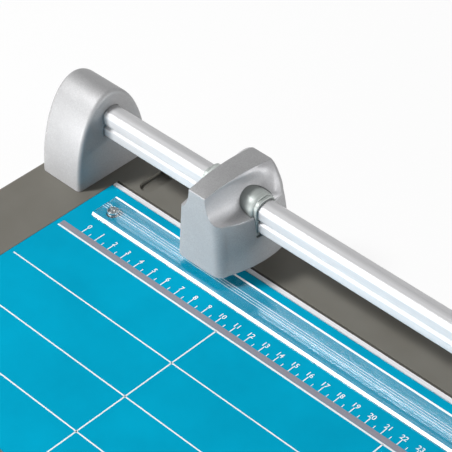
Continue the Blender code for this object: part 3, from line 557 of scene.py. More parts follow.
rail = {"topRadius": 3.6, "footRadius": 2.6, "crown": 0.5, "grooveDrop": 9.8, "grooveHeight": 3.0,
        "grooveDepth": 1.7, "grooveSoft": 0.25, "endChamfer": 0.4, "screwBore": 2.3,       # mm
        "crownArc": 82, "topSteps": 14, "footSteps": 10, "lidSteps": 7, "boreSides": 40, "sharp": 24}


def railOutline(grown=0.0):
    # the rail's section in Y and Z: two rounded lobes with a key groove between them on either side
    half = (railHigh - railLow)[1] / 2 + grown
    top, base = railHigh[2] + grown, railLow[2] - grown
    groove = railHigh[2] - rail["grooveDrop"] * mm
    mouth = rail["grooveHeight"] * mm / 2 - grown
    floor = half - rail["grooveDepth"] * mm
    topRadius, footRadius = rail["topRadius"] * mm + grown, rail["footRadius"] * mm + grown
    notch = softened([(half, groove - mouth - mm), (half, groove - mouth), (floor, groove - mouth / 2),
                      (floor, groove + mouth / 2), (half, groove + mouth), (half, groove + mouth + mm)],
                     rail["grooveSoft"] * mm, ring=False)
    crownCentre = (half - topRadius, top - rail["crown"] * mm - topRadius)
    footCentre = (half - footRadius, base + footRadius)
    right = np.vstack([[(0.0, base)], arcPoints(footCentre, footRadius, -90, 0, rail["footSteps"]), notch,
                       arcPoints(crownCentre, topRadius, 0, rail["crownArc"], rail["topSteps"])])
    inner = right[-1]
    s = np.linspace(0, 1, rail["lidSteps"] + 1)[1:, None]
    lid = np.hstack([inner[0] * (1 - s), between(inner[1], top, 1 - (1 - s) ** 2)])
    right = np.vstack([right, lid])
    left = right[-2:0:-1] * [-1, 1]
    return np.vstack([right, left]) + [railY, 0]


def addRail():
    # the section carried along X and shrunk a little at either end as a chamfer, with a bore for each screw
    outline = railOutline()
    centre = np.array([railY, railZ])
    chamfer = rail["endChamfer"] * mm
    stations = np.array([railLow[0], railLow[0] + chamfer, railHigh[0] - chamfer, railHigh[0]])
    ends = 1 - chamfer / (railHigh[2] - railZ)
    section = centre + (outline - centre)[None] * np.array([ends, 1, 1, ends])[:, None, None]
    rows = place("X", section[:, :, 0], section[:, :, 1], stations[:, None])
    bores = []
    for side in ("left", "right"):
        low, high = nodeBox(side + "_rail_screw")
        radius = rail["screwBore"] * mm
        bores.append(turned([(radius, low[0] - mm), (radius, high[0] + mm)], "X", (railY, railZ),
                            rail["boreSides"]))
    mesh = cutAway("rail_fine", skin(rows), bores, rail["sharp"])
    addPiece("rail_fine", mesh, aluminium, "base", ["rail"])


block = {"edge": 2.6, "socketDepth": 14.0, "socketGap": 0.3, "bore": 4.3, "boreDepth": 6.0,
         "shank": 2.3,                                    # mm
         "socketPast": 5.0, "borePast": 3.0,              # how far the cutters stand out of the block, mm
         "edgeSteps": 6, "domeSteps": 72, "boreSides": 48, "sharp": 40}


def addBlocks():
    # half an ellipse over the rail, carried along X, its two end edges rounded by shrinking the ellipse
    for side, way in (("left", -1), ("right", 1)):
        node = side + "_end_block"
        low, high = nodeBox(node)
        inner, outer = (high[0], low[0]) if way < 0 else (low[0], high[0])
        angle = np.linspace(0, np.pi, block["domeSteps"] + 1)[None, :]
        turn = np.linspace(0, np.pi / 2, block["edgeSteps"] + 1)
        edge = block["edge"] * mm
        inset = np.concatenate([edge * (1 - np.sin(turn)), edge * (1 - np.cos(turn))])[:, None]
        length = abs(outer - inner)
        along = np.concatenate([edge * (1 - np.cos(turn)), length - edge * (1 - np.sin(turn))])[:, None]
        depth, height = (high - low)[1] / 2 - inset, (high - low)[2] - inset
        rows = place("X", railY + depth * np.cos(angle), low[2] + height * np.sin(angle), inner + way * along)
        reach = block["socketDepth"] * mm
        socket = extruded(railOutline(block["socketGap"] * mm), "X",
                          [inner - way * block["socketPast"] * mm, inner + way * reach])
        bore, shank, sink = block["bore"] * mm, block["shank"] * mm, block["boreDepth"] * mm
        hole = turned([(bore, outer + way * block["borePast"] * mm), (bore, outer - way * sink),
                       (shank, outer - way * sink), (shank, inner + way * (reach - mm))],
                      "X", (railY, railZ), block["boreSides"])
        mesh = cutAway(node + "_fine", skin(rows), [socket, hole], block["sharp"])
        addPiece(node + "_fine", mesh, silverAbs, "base", [node])


addRail()
addBlocks()
print("rail and end blocks made")


# Screws

screw = {
    # each kind's head length and shank radius, mm
    "rail": (3.5, 2.0), "block": (2.4, 1.5), "lowerBlade": (2.4, 0.75), "hood": (2.4, 1.5),
    # shares of the head's radius
    "slotHalf": 0.24, "slotReach": 0.62, "slotFade": 0.08, "reachFade": 0.12, "rim": 0.1, "centre": 0.02,
    # shares of the head's length
    "slotDepth": 0.45, "dome": 0.12,
    # the thread, mm
    "pitch": 0.7, "thread": 0.2, "plain": 0.8, "runIn": 0.6, "runOut": 1.0,
    # shares of the shank's radius
    "tip": 0.6, "tipRadii": (0.75, 0.2), "tipTaper": 0.25,
    "sides": 48, "faceRings": 22, "rimSteps": 4, "ringsPerPitch": 6, "sharp": 40,
}


def screwShape(axis, centre, seat, way, headRadius, headLength, shankRadius, tip):
    # rings from the middle of the head to the tip. The head's face sinks by a cross of four slots; the
    # shank's radius rises and falls once per pitch and turns with the angle, which winds it into a thread
    s = screw
    angle = np.linspace(0, 2 * np.pi, s["sides"], endpoint=False)[None, :]
    face = np.linspace(s["centre"], 1 - s["rim"], s["faceRings"])[:, None] * headRadius
    x, y = np.abs(face * np.cos(angle)) / headRadius, np.abs(face * np.sin(angle)) / headRadius
    narrow = np.clip((s["slotHalf"] - np.minimum(x, y)) / s["slotFade"], 0, 1)
    short = np.clip((s["slotReach"] - np.maximum(x, y)) / s["reachFade"], 0, 1)
    dome = s["dome"] * headLength * (face / headRadius) ** 2
    faceRise = dome + s["slotDepth"] * headLength * narrow * short
    rim = np.radians(np.linspace(0, 90, s["rimSteps"] + 1))[1:, None]
    soft = s["rim"] * headRadius
    rimRadius = headRadius - soft + soft * np.sin(rim)
    rimRise = s["dome"] * headLength + soft * (1 - np.cos(rim))
    length = abs(tip - seat)
    pitch = s["pitch"] * mm
    turns = np.arange(0.0, length - shankRadius * s["tip"], pitch / s["ringsPerPitch"])[:, None]
    wave = np.abs(((turns / pitch - angle / (2 * np.pi)) % 1) * 2 - 1)
    ease = (np.clip((turns - s["plain"] * mm) / (s["runIn"] * mm), 0, 1)
            * np.clip((length - turns) / (s["runOut"] * mm), 0, 1))
    shank = shankRadius - s["thread"] * mm * wave * ease
    ones = np.ones_like(angle)
    end = np.array([[s["tipRadii"][0], length - s["tipTaper"] * shankRadius], [s["tipRadii"][1], length]])
    radii = np.vstack([face * ones, rimRadius * ones, headRadius * ones, shank,
                       end[:, :1] * shankRadius * ones])
    rises = np.vstack([faceRise, rimRise * ones, headLength * ones, headLength + turns * ones,
                       headLength + end[:, 1:] * ones])
    t = seat + way * (rises - headLength)
    return skin(place(axis, centre[0] + radii * np.cos(angle), centre[1] + radii * np.sin(angle), t))


def addScrew(node, axis, way, kind, body):
    # way points from the head to the tip
    headLength, shankRadius = screw[kind]
    low, high = nodeBox(node)
    along = "XYZ".index(axis)
    across = [i for i in range(3) if i != along]
    centre = (low + high)[across] / 2
    headRadius = (high - low)[across[0]] / 2
    tip = high[along] if way > 0 else low[along]
    start = low[along] if way > 0 else high[along]
    shape = screwShape(axis, centre, start + way * headLength * mm, way, headRadius, headLength * mm,
                       shankRadius * mm, tip)
    addPiece(node + "_fine", shape, zincPlate, body, [node], screw["sharp"])


def addScrews():
    # the rail's screws point inwards along X, the others upwards
    for side, way in (("left", 1), ("right", -1)):
        addScrew(side + "_rail_screw", "X", way, "rail", "base")
        for end in ("front", "rear"):
            addScrew(f"{side}_block_screw_{end}", "Z", 1, "block", "base")
    for number in range(1, 5):
        addScrew(f"lower_blade_screw_{number}", "Z", 1, "lowerBlade", "base")
    for end in ("front", "rear"):
        addScrew("hood_screw_" + end, "Z", 1, "hood", "carriage")


addScrews()
print("screws made")


# Clear clamp strip, its pins, rings and springs

strip = {
    "sizes": {"bevelWidth": 0.9, "bevelDrop": 1.7, "rimWidth": 1.2, "rimDrop": 0.35, "rimStep": 0.1,
              "cut": 0.1, "soft": 0.04, "endSoft": 0.5, "pinGap": 0.3, "pinSink": 1.5, "pinHole": 1.8,
              "margin": 0.1},                                         # mm
    "lines": (7.2, 8.7, 10.3),                                        # sighting cuts, mm from the rear edge
    "cutPlaces": (0.0, -0.4, -1.6), "cutDepths": (0.0, 1.0, 0.0),     # shares of a cut's depth
    "endShrink": 0.985, "frostHighlightSlopes": (0.2, 0.995), "holeSides": 48, "sharp": 28,
}


def addStrip():
    # the strip's section carried along X: bevelled front edge, three fine sighting cuts, and a rear rim
    # whose shallow slope faces the user
    s = {name: value * mm for name, value in strip["sizes"].items()}
    front, rear, low, top = stripLow[1], stripHigh[1], stripLow[2], stripHigh[2]
    cuts = rear - np.array(strip["lines"])[:, None] * mm + np.array(strip["cutPlaces"])[None, :] * s["cut"]
    depths = top - np.array(strip["cutDepths"])[None, :] * s["cut"] + 0 * cuts
    rim = rear - s["rimWidth"]
    corners = np.vstack([[(front, low), (rear, low), (rear, top), (rim, top - s["rimDrop"]),
                          (rim - s["rimStep"], top)], np.stack([cuts, depths], -1).reshape(-1, 2),
                         [(front + s["bevelWidth"], top), (front, top - s["bevelDrop"])]])
    outline = softened(corners, s["soft"])
    ends = [stripLow[0], stripLow[0] + s["endSoft"], stripHigh[0] - s["endSoft"], stripHigh[0]]
    rows = place("X", outline[None, :, 0], outline[None, :, 1], np.array(ends)[:, None])
    middle = np.array([(front + rear) / 2, (low + top) / 2])
    shrink = np.array([strip["endShrink"], 1, 1, strip["endShrink"]])[:, None]
    rows[:, :, 1] = middle[0] + (rows[:, :, 1] - middle[0]) * shrink
    rows[:, :, 2] = middle[1] + (rows[:, :, 2] - middle[1]) * (2 * shrink - 1)
    holes = []
    for side in ("left", "right"):
        pinLow, pinHigh = nodeBox(side + "_guide_pin")
        centre = (pinLow + pinHigh)[:2] / 2
        wide, narrow = (pinHigh - pinLow)[0] / 2 + s["pinGap"], s["pinHole"]
        seat = pinHigh[2] - s["pinSink"]
        profile = [(wide, top + mm), (wide, seat), (narrow, seat), (narrow, low - mm)]
        holes.append(turned(profile, "Z", centre, strip["holeSides"]))
    mesh = cutAway("clamp_strip_fine", skin(rows), holes, strip["sharp"])
    piece = addPiece("clamp_strip_fine", mesh, clearSheet, "clamp", ["clamp_strip"])
    piece.visible_shadow = piece.visible_diffuse = False    # light passes through it to the table

    # the slopes of the bevel, the rim and the cuts are frosted, and painted white as a painted highlight
    mesh.materials.append(frostedEdgeHighlight)
    centres = np.empty(len(mesh.polygons) * 3, np.float32)
    normals = np.empty(len(mesh.polygons) * 3, np.float32)
    mesh.polygons.foreach_get("center", centres)
    mesh.polygons.foreach_get("normal", normals)
    y, z = centres.reshape(-1, 3)[:, 1], centres.reshape(-1, 3)[:, 2]
    slope = np.abs(normals.reshape(-1, 3)[:, 1])
    near = s["margin"]
    least, most = strip["frostHighlightSlopes"]
    edges = (y < front + s["bevelWidth"] + near) | (y > rim - near)
    lines = (y > cuts.min() - near) & (y < cuts.max() + near)
    edgeHighlightMask = (slope > least) & (slope < most) & (z > top - s["bevelDrop"] - near) & (edges | lines)
    mesh.polygons.foreach_set("material_index", edgeHighlightMask.astype(np.int32))
    mesh.update()


spring = {"wire": 0.8, "clampRadius": 2.7, "bladeRadius": 3.5,       # mm
          "clampTurns": 5, "bladeTurns": 2, "flatTurns": 0.2, "stepsPerTurn": 40, "wireSides": 14}


def helix(kind, axis, centre, low, high):
    # a round wire on a helix; part of a turn at either end is drawn flat so that the spring sits square
    radius, turns, wire = spring[kind + "Radius"] * mm, spring[kind + "Turns"], spring["wire"] * mm
    flat = spring["flatTurns"]
    step = np.linspace(0, 1, turns * spring["stepsPerTurn"] + 1)[:, None]
    angle = 2 * np.pi * turns * step
    level = low + wire / 2 + (high - low - wire) * np.clip((step * turns - flat) / (turns - 2 * flat), 0, 1)
    around = np.linspace(0, 2 * np.pi, spring["wireSides"], endpoint=False)[None, :]
    reach = radius + wire / 2 * np.cos(around)
    return skin(place(axis, centre[0] + reach * np.cos(angle), centre[1] + reach * np.sin(angle),
                      level + wire / 2 * np.sin(around)))


pin = {"shank": 1.5, "headHeight": 1.2, "tip": 0.4, "soft": 0.22, "ringBore": 1.8, "ringSoft": 0.15,    # mm
       "dimpleDepth": 0.5, "dimpleMiddle": 0.6, "tipShare": 0.8, "dimpleShares": (0.3, 0.24), "sides": 48}


def addClampParts():
    # turned pins with a dimpled head and turned rings under them, and a coiled spring under each
    for side in ("left", "right"):
        low, high = nodeBox(side + "_guide_pin")
        centre = (low + high)[:2] / 2
        head, shank = (high - low)[0] / 2, pin["shank"] * mm
        top, neck = high[2], high[2] - pin["headHeight"] * mm
        wide, narrow = (head * share for share in pin["dimpleShares"])
        corners = [(axisHole, low[2]), (shank * pin["tipShare"], low[2]), (shank, low[2] + pin["tip"] * mm),
                   (shank, neck), (head, neck), (head, top), (wide, top),
                   (narrow, top - pin["dimpleDepth"] * mm), (axisHole, top - pin["dimpleMiddle"] * mm)]
        profile = softened(corners, pin["soft"] * mm, ring=False)
        addPiece(side + "_guide_pin_fine", turned(profile, "Z", centre, pin["sides"]), zincPlate, "clamp",
                 [side + "_guide_pin"])
        low, high = nodeBox(side + "_pin_ring")
        bore, rim = pin["ringBore"] * mm, (high - low)[0] / 2
        ring = softened(ringCorners(bore, rim, low[2], high[2]), pin["ringSoft"] * mm)
        addPiece(side + "_pin_ring_fine", turned(ring, "Z", centre, pin["sides"], True), springWire, "clamp",
                 [side + "_pin_ring"])
        node = side + "_clamp_spring"
        low, high = nodeBox(node)
        coil = helix("clamp", "Z", centre, low[2], high[2])
        piece = addPiece(node + "_fine", coil, springWire, "base", [node])
        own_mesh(piece)


addStrip()
addClampParts()
print("clamp strip made")


# Cutting head

hood = {
    "sizes": {                                                          # mm
        "topFront": 5.7, "topRear": 7.2, "ledgeFront": 14.6, "ledgeRear": 17.0,      # half widths
        "skirtFront": 16.8, "skirtRear": 20.6,
        "ledgeBulge": 3.0, "skirtBulge": 2.9, "corner": 6.0, "rearCorner": 3.4, "topCorner": 1.2,
        "ledgeOverRail": 5.6, "ledgeDip": 3.2, "topOverRail": 20.7, "crown": 2.4, "fall": 0.8,
        "rim": 0.6, "topRim": 0.4, "wall": 2.2, "topBow": 0.25,
        "ceilingUnderRail": 11.2, "passageGap": 0.3,
    },
    "columns": {"front": 24, "side": 50, "corner": 11, "rear": 8},      # points along half a ring
    "rows": {"skirt": 25, "scoop": 48, "rim": 5, "lid": 12, "roof": 6},
    # of the curves, and of the spacing of points and rows
    "powers": {"front": 1.6, "side": 1.25, "scoopRows": 1.7, "scoop": 2.1, "shoulderRise": 1.6,
               "shoulder": 0.7, "skirt": 3, "corner": 3, "turn": 6, "column": 0.7},
    # turn and column of an end's depth, lean of the scoop's height, roof of its depth, rim of the lower rim
    "shares": {"turn": 0.6, "column": 0.13, "leanFrom": 0.36, "leanOver": 0.24, "roof": 0.6, "rim": 0.3},
    "columnRise": 4, "sharp": 38,      # the rear column is full at a quarter of the scoop's height
}


def hoodSection(front, body, rear, bulge, rearCorner, turn, column, z, arch, lean):
    # rings of the hood in plan, all levels at once: the flat front runs into the body's round corner and
    # stops at the crease, the end bulges and past its turn sweeps out to the edge of the rear column, then
    # a corner and the flat rear, and the same mirrored
    count, power = hood["columns"], hood["powers"]
    low, high = hoodLow[1], hoodHigh[1]
    corner = hood["sizes"]["corner"] * mm
    flatX, flatY = rear - rearCorner, high - rearCorner
    step = np.linspace(0, 1, count["front"])[None, :]
    frontX = front * (1 - (1 - step) ** power["front"])
    over = np.clip(frontX - (body - corner), 0, corner)
    frontY = low + corner - np.sqrt(corner ** 2 - over ** 2)
    crease = frontY[:, -1:]
    share = np.linspace(0, 1, count["side"] + 2)[None, 1:-1] ** power["side"]
    sweep = np.clip((share - turn) / (1 - column - turn), 0, 1) ** (1 + turn / hood["shares"]["turn"])
    sideX = between(front, rear, sweep) + bulge * (1 - (2 * share - 1) ** 2)
    sideY = between(crease, flatY, share)
    quarter = np.radians(np.linspace(0, 90, count["corner"]))[None, :]
    flat = np.linspace(1, 0, count["rear"] + 1)[None, 1:]
    x = np.hstack([frontX, sideX, flatX + rearCorner * np.cos(quarter), flatX * flat])
    y = np.hstack([frontY, sideY, flatY + rearCorner * np.sin(quarter), high + 0 * front * flat])
    reach = (y - (low + high) / 2) / ((high - low) / 2)
    half = np.stack([x, y, z + arch * (1 - reach ** 2) - lean * reach], -1)
    mirrored = half[:, -2:0:-1] * [-1, 1, 1]
    return np.concatenate([half, mirrored], 1)


def drawnIn(ring, distance):
    # a ring moved inwards along its own normals in plan
    run = np.roll(ring, -1, 0) - np.roll(ring, 1, 0)
    outward = np.stack([run[:, 1], -run[:, 0]], -1)
    outward /= np.linalg.norm(outward, axis=1, keepdims=True)
    moved = np.repeat(ring[None], len(distance), 0)
    moved[:, :, :2] -= outward[None] * distance[:, None, None]
    return moved


def closedOver(ring, shares, narrow, bow):
    # a ring drawn in towards its middle line; its height stays that of the ring at the same Y, plus the bow
    share = np.asarray(shares)[:, None]
    middle = (ring[:, 1].min() + ring[:, 1].max()) / 2
    x = ring[None, :, 0] * (1 - share)
    y = middle + (ring[None, :, 1] - middle) * (1 - share * narrow)
    order = np.argsort(ring[:, 1])
    z = np.interp(y, ring[order, 1], ring[order, 2]) + bow * (1 - (1 - share) ** 2)
    return np.stack([x, y, z], -1)


def addHood():
    # from inside to outside: roof, wall, rounded rim, skirt, scooped ends, rounded top edge and lid; then
    # the passages for rail and collars are cut out
    h = {name: value * mm for name, value in hood["sizes"].items()}
    count, power, part = hood["rows"], hood["powers"], hood["shares"]
    wall, rim = h["wall"], h["rim"]
    skirtZ = hoodLow[2]
    ledgeZ = railZ + h["ledgeOverRail"]
    rise = h["topOverRail"] - h["ledgeOverRail"] - h["topRim"]

    s = np.linspace(0, 1, count["skirt"] + 1)[:-1, None]        # skirt, widening downwards
    body = between(h["skirtFront"], h["ledgeFront"], s)
    skirt = hoodSection(
        front=body, body=body, rear=between(h["skirtRear"], h["ledgeRear"], s ** power["skirt"]),
        bulge=between(h["skirtBulge"], h["ledgeBulge"], s), rearCorner=h["rearCorner"] + 0 * s,
        turn=0 * s, column=0 * s, z=skirtZ + rim + (ledgeZ - skirtZ - rim) * s,
        arch=-h["ledgeDip"] * s, lean=0 * s)

    # scooped ends, hollow at the front, a shoulder at the rear
    u = np.linspace(0, 1, count["scoop"])[:, None] ** power["scoopRows"]
    flare = 1 - (1 - (1 - u) ** power["scoop"]) ** (1 / power["scoop"])
    shoulder = (1 - u ** power["shoulderRise"]) ** power["shoulder"]
    risen = np.minimum(1, hood["columnRise"] * u)
    scoop = hoodSection(
        front=between(h["topFront"], h["ledgeFront"], flare), body=h["ledgeFront"] + 0 * u,
        rear=between(h["topRear"], h["ledgeRear"], shoulder), bulge=h["ledgeBulge"] * flare,
        rearCorner=between(h["topCorner"], h["rearCorner"], 1 - u ** power["corner"]),
        turn=part["turn"] * risen * (1 - u ** power["turn"]),
        column=part["column"] * risen * (1 - u) ** power["column"],
        z=ledgeZ + rise * u - h["fall"] * u ** 2 / 2, arch=h["crown"] * u ** 2 - h["ledgeDip"] * (1 - u),
        lean=h["fall"] / 2 * np.clip((u - part["leanFrom"]) / part["leanOver"], 0, 1))
    outer = np.concatenate([skirt, scoop])
    outer = (np.roll(outer, 1, 1) + 2 * outer + np.roll(outer, -1, 1)) / 4      # eased along each ring
    outer[1:-1] = (outer[:-2] + 2 * outer[1:-1] + outer[2:]) / 4                # and over the ledge's edge

    turn = np.radians(np.linspace(0, 90, count["rim"] + 1))[1:]
    narrow = h["topRear"] / ((hoodHigh - hoodLow)[1] / 2)
    crest = closedOver(outer[-1], h["topRim"] * (1 - np.cos(turn)) / h["topRear"], narrow, 0.0)
    crest[:, :, 2] = outer[-1][None, :, 2] + (h["topRim"] * np.sin(turn))[:, None]
    lid = closedOver(crest[-1], np.linspace(0, 1, count["lid"] + 1)[1:], narrow, h["topBow"])

    below = drawnIn(outer[0], rim * (1 - np.cos(turn)))[::-1]
    below[:, :, 2] -= (rim * np.sin(turn))[::-1, None]
    inside = rim * part["rim"]
    within = drawnIn(outer[0], np.array([wall, wall, wall - inside, wall - rim]))
    ceiling = railZ - h["ceilingUnderRail"]
    within[:, :, 2] = np.array([ceiling, skirtZ + rim, skirtZ + inside, skirtZ])[:, None]
    roof = closedOver(within[0], np.linspace(0, 1, count["roof"] + 1)[1:], part["roof"], 0.0)[::-1]
    rows = np.concatenate([roof, within, below, outer, crest, lid])
    rows[:, :, 0] += headX

    reach = (hoodHigh - hoodLow)[0]
    gap = hood["sizes"]["passageGap"]
    angle = np.linspace(-np.pi, np.pi, collar["sides"], endpoint=False)
    station, radius = sleeveForm(angle, gap)
    station = np.concatenate([-station[::-1] - gap, station + gap])
    radius = np.concatenate([radius[::-1], radius])
    passages = [extruded(archOutline(collar["lipWall"] + gap), "X", [headX - reach, headX + reach]),
                skin(place("X", railY + radius * np.cos(angle), railZ + radius * np.sin(angle),
                           headX + station[:, None] * mm))]

    # the scooped ends' faces are marked, so that they keep their lighter paint, which is painted light,
    # through the cut
    first = len(roof) + len(within) + len(below) + len(skirt)
    kinds = np.zeros((len(rows) - 1, rows.shape[1]), np.int32)
    ends = hood["columns"]["front"] + np.arange(-1, hood["columns"]["side"])
    kinds[first:first + len(scoop) - 1, np.concatenate([ends, rows.shape[1] - 1 - ends])] = 1
    mesh = cutAway("head_hood_fine", skin(rows, capped=False), passages, hood["sharp"], kinds.ravel())
    kinds = np.empty(len(mesh.polygons), np.int32)
    mesh.polygons.foreach_get("material_index", kinds)
    addPiece("head_hood_fine", mesh, silverAbs, "carriage", ["head_hood"])
    mesh.materials.append(scoopPaintedLightAbs)
    mesh.polygons.foreach_set("material_index", kinds)


collar = {"wall": 2.2, "rootWall": 3.4, "lipWall": 1.4, "slide": 0.35, "footRadius": 1.5, "soft": 0.5,
          "mouth": 0.7, "inner": 4.5, "root": 13.0, "sleeve": 17.5, "reach": 19.6,      # mm
          "sides": 240, "footSteps": 8, "crownSteps": 24, "swellSteps": 11, "lipSteps": 5,
          "outlinePoints": 2000, "sharp": 30}


def archOutline(wall, topRadius=None, footWall=None):
    # a ring round the rail, sizes in mm: flat foot, upright sides and a top rounded like the rail's, or wider
    half = (railHigh - railLow)[1] / 2 + wall * mm
    top, base = railHigh[2] + wall * mm, railLow[2] - (wall if footWall is None else footWall) * mm
    crown = (rail["topRadius"] + wall if topRadius is None else topRadius) * mm
    low = collar["footRadius"] * mm
    right = np.vstack([arcPoints((half - low, base + low), low, -90, 0, collar["footSteps"]),
                       arcPoints((half - crown, top - crown), crown, 0, 90, collar["crownSteps"])])
    return np.vstack([right, right[::-1] * [-1, 1]]) + [railY, 0]


def sleeveForm(angle, grown=0.0):
    # the sleeve's radius at stations from the middle, mm: each section's top is half a circle as wide as the
    # sleeve, full at the root and drawn in along a quarter ellipse towards its end
    c = collar
    turn = np.radians(np.linspace(0, 90, c["swellSteps"] + 1))
    station = np.concatenate([[c["inner"]], between(c["root"], c["sleeve"], np.sin(turn))])
    walls = grown + c["wall"] + (c["rootWall"] - c["wall"]) * np.concatenate([[1.0], np.cos(turn)])
    half = (railHigh - railLow)[1] / 2 / mm
    radius = np.stack([aroundRail(archOutline(w, half + w, c["wall"] + grown), angle) for w in walls])
    return station, radius


def aroundRail(outline, angle):
    # a star-shaped outline read as a radius at each angle about the rail's centre, from many points along it
    closed = np.vstack([outline, outline[:1]])
    corners = np.arange(len(closed))
    along = np.linspace(0, len(outline), collar["outlinePoints"], endpoint=False)
    y = np.interp(along, corners, closed[:, 0]) - railY
    z = np.interp(along, corners, closed[:, 1]) - railZ
    turn = np.arctan2(z, y)
    order = np.argsort(turn)
    return np.interp(angle, turn[order], np.hypot(y, z)[order], period=2 * np.pi)


def addCollars():
    # radius about the rail's centre at each station: a swelling sleeve, a step down to a lip that follows the
    # rail and has a rounded end, then back through a chamfered mouth as the sliding bore
    c = collar
    angle = np.linspace(-np.pi, np.pi, c["sides"], endpoint=False)
    station, sleeve = sleeveForm(angle)
    lip = aroundRail(archOutline(c["lipWall"]), angle)
    bore = aroundRail(railOutline(c["slide"] * mm), angle)
    turn = np.radians(np.linspace(0, 90, c["lipSteps"] + 1))
    lipAway = c["soft"] * np.concatenate([[0.0], np.cos(turn) - 1])
    boreAway = c["mouth"] * np.array([1.0, 0.0, 0.0, 1.0])
    station = np.concatenate([station, [c["sleeve"]], c["reach"] + c["soft"] * (np.sin(turn) - 1),
                              [c["reach"], c["reach"] - c["mouth"], c["inner"] + c["mouth"], c["inner"]]])
    radius = np.concatenate([sleeve, lip + lipAway[:, None] * mm, bore + boreAway[:, None] * mm])
    for side, way in (("left", -1), ("right", 1)):
        rows = place("X", railY + radius * np.cos(angle), railZ + radius * np.sin(angle),
                     headX + way * station[:, None] * mm)
        addPiece(side + "_rail_collar_fine", skin(rows, wrapRows=True), collarAcetal, "carriage",
                 [side + "_rail_collar"], c["sharp"])


addHood()
addCollars()
print("hood and collars made")


# Carrier, axle and blade

blade = {
    "sizes": {"bore": 4.3, "bevel": 1.2, "hubBore": 2.3, "flange": 7.0, "spigot": 4.0, "seatGap": 0.3,   # mm
              "axle": 2.0, "axleHead": 3.5, "axleHeadLength": 1.5, "clip": 4.0,
              "edgeSoft": 0.05, "clipSoft": 0.2, "soft": 0.3},
    "edgeSides": 128, "sides": 72, "sharp": 30,
}


def roundPiece(node, corners, soft, material, body, ring=True, sides=blade["sides"]):
    # a turned piece on the blade's axis from corners of (radius, Y) in metres
    shape = turned(softened(corners, soft, ring=ring), "Y", (headX, bladeZ), sides, ring)
    addPiece(node + "_fine", shape, material, body, [node])


def addBladeGroup():
    # carrier and shoe merged from the CAD, the others turned about the blade's axis, front and rear along Y
    for node, material, slotName in (("blade_carrier", toolSteel, "ground_steel"),
                                     ("press_shoe", milkAcetal, "white_acetal")):
        mesh = mergedCopy(node, blade["sharp"])
        piece = addPiece(node + "_fine", mesh, material, "carriage", [node])
        piece.modifiers.new("flat faces stay flat", "WEIGHTED_NORMAL").keep_sharp = True

    b = {name: value * mm for name, value in blade["sizes"].items()}
    ends = {node: [corner[1] for corner in nodeBox(node)]
            for node in ("rotary_blade", "blade_hub", "hub_nut", "blade_axle", "axle_clip", "blade_spring")}
    front, rear = ends["rotary_blade"]
    edge = (bladeHigh - bladeLow)[2] / 2
    disc = [(b["bore"], front), (edge, front), (edge - b["bevel"], rear), (b["bore"], rear)]
    roundPiece("rotary_blade", disc, b["edgeSoft"], toolSteel, "blade",
               sides=blade["edgeSides"])
    seat = front - b["seatGap"]
    front, rear = ends["blade_hub"]
    hub = [(b["hubBore"], front), (b["flange"], front), (b["flange"], seat), (b["spigot"], seat),
           (b["spigot"], rear), (b["hubBore"], rear)]
    roundPiece("blade_hub", hub, b["soft"], milkAcetal, "blade")
    nut = ringCorners(b["bore"], b["flange"], *ends["hub_nut"])
    roundPiece("hub_nut", nut, b["soft"], milkAcetal, "blade")
    front, rear = ends["blade_axle"]
    neck = front + b["axleHeadLength"]
    axle = [(axisHole, front), (b["axleHead"], front), (b["axleHead"], neck), (b["axle"], neck),
            (b["axle"], rear), (axisHole, rear)]
    roundPiece("blade_axle", axle, b["soft"], zincPlate, "carriage", ring=False)
    clip = ringCorners(b["hubBore"], b["clip"], *ends["axle_clip"])
    roundPiece("axle_clip", clip, b["clipSoft"], springWire, "carriage")
    coil = helix("blade", "Y", (headX, bladeZ), *ends["blade_spring"])
    addPiece("blade_spring_fine", coil, springWire, "carriage", ["blade_spring"])


addBladeGroup()
print("blade group made")


# Studio

studio = {
    "camera": (0.4173, -0.4539, 0.6739), "tilt": 49.095, "turn": 44.104, "lens": 147.93, "sensor": 36,
    "clip": (0.01, 50),
    "horizon": 1.0, "zenith": 0.2, "skyFrom": 0.4, "skyTo": 0.8,     # white level low down and overhead
    "diffuse": 0.3,                                                  # share of it that lights
    "floorSize": 8.0, "floorColour": "#f6f6f6", "floorRoughness": 0.9, "floorGlow": 0.9,
}
lamps = {                                    # places and sizes in metres, power in watts
    "key": {"place": (-0.8, -0.75, 1.4), "size": (0.3, 0.3), "power": 26.0},      # front left, casts shadows
    "fill": {"place": (-0.8, -2.3, 0.14), "size": (1.2, 0.25), "power": 58.0},    # level with the table
    "side": {"place": (1.7, 0.6, 0.35), "size": (1.2, 0.25), "power": 18.0},      # for the right ends
}


def addCamera():
    # the photograph's place, direction and lens
    camera = bpy.data.objects.new("camera", bpy.data.cameras.new("camera"))
    camera.location = studio["camera"]
    camera.rotation_euler = (math.radians(studio["tilt"]), 0, math.radians(studio["turn"]))
    camera.data.lens, camera.data.sensor_width = studio["lens"], studio["sensor"]
    camera.data.clip_start, camera.data.clip_end = studio["clip"]
    scene.collection.objects.link(camera)
    scene.camera = camera


def addLamps():
    # soft boxes that all point at the middle of the base
    for name, lamp in lamps.items():
        light = bpy.data.objects.new(name, bpy.data.lights.new(name, "AREA"))
        light.data.shape = "RECTANGLE"
        light.data.size, light.data.size_y = lamp["size"]
        light.data.energy = lamp["power"]
        light.location = lamp["place"]
        light.visible_camera = False
        light.rotation_euler = (-light.location).to_track_quat("-Z", "Y").to_euler()
        scene.collection.objects.link(light)


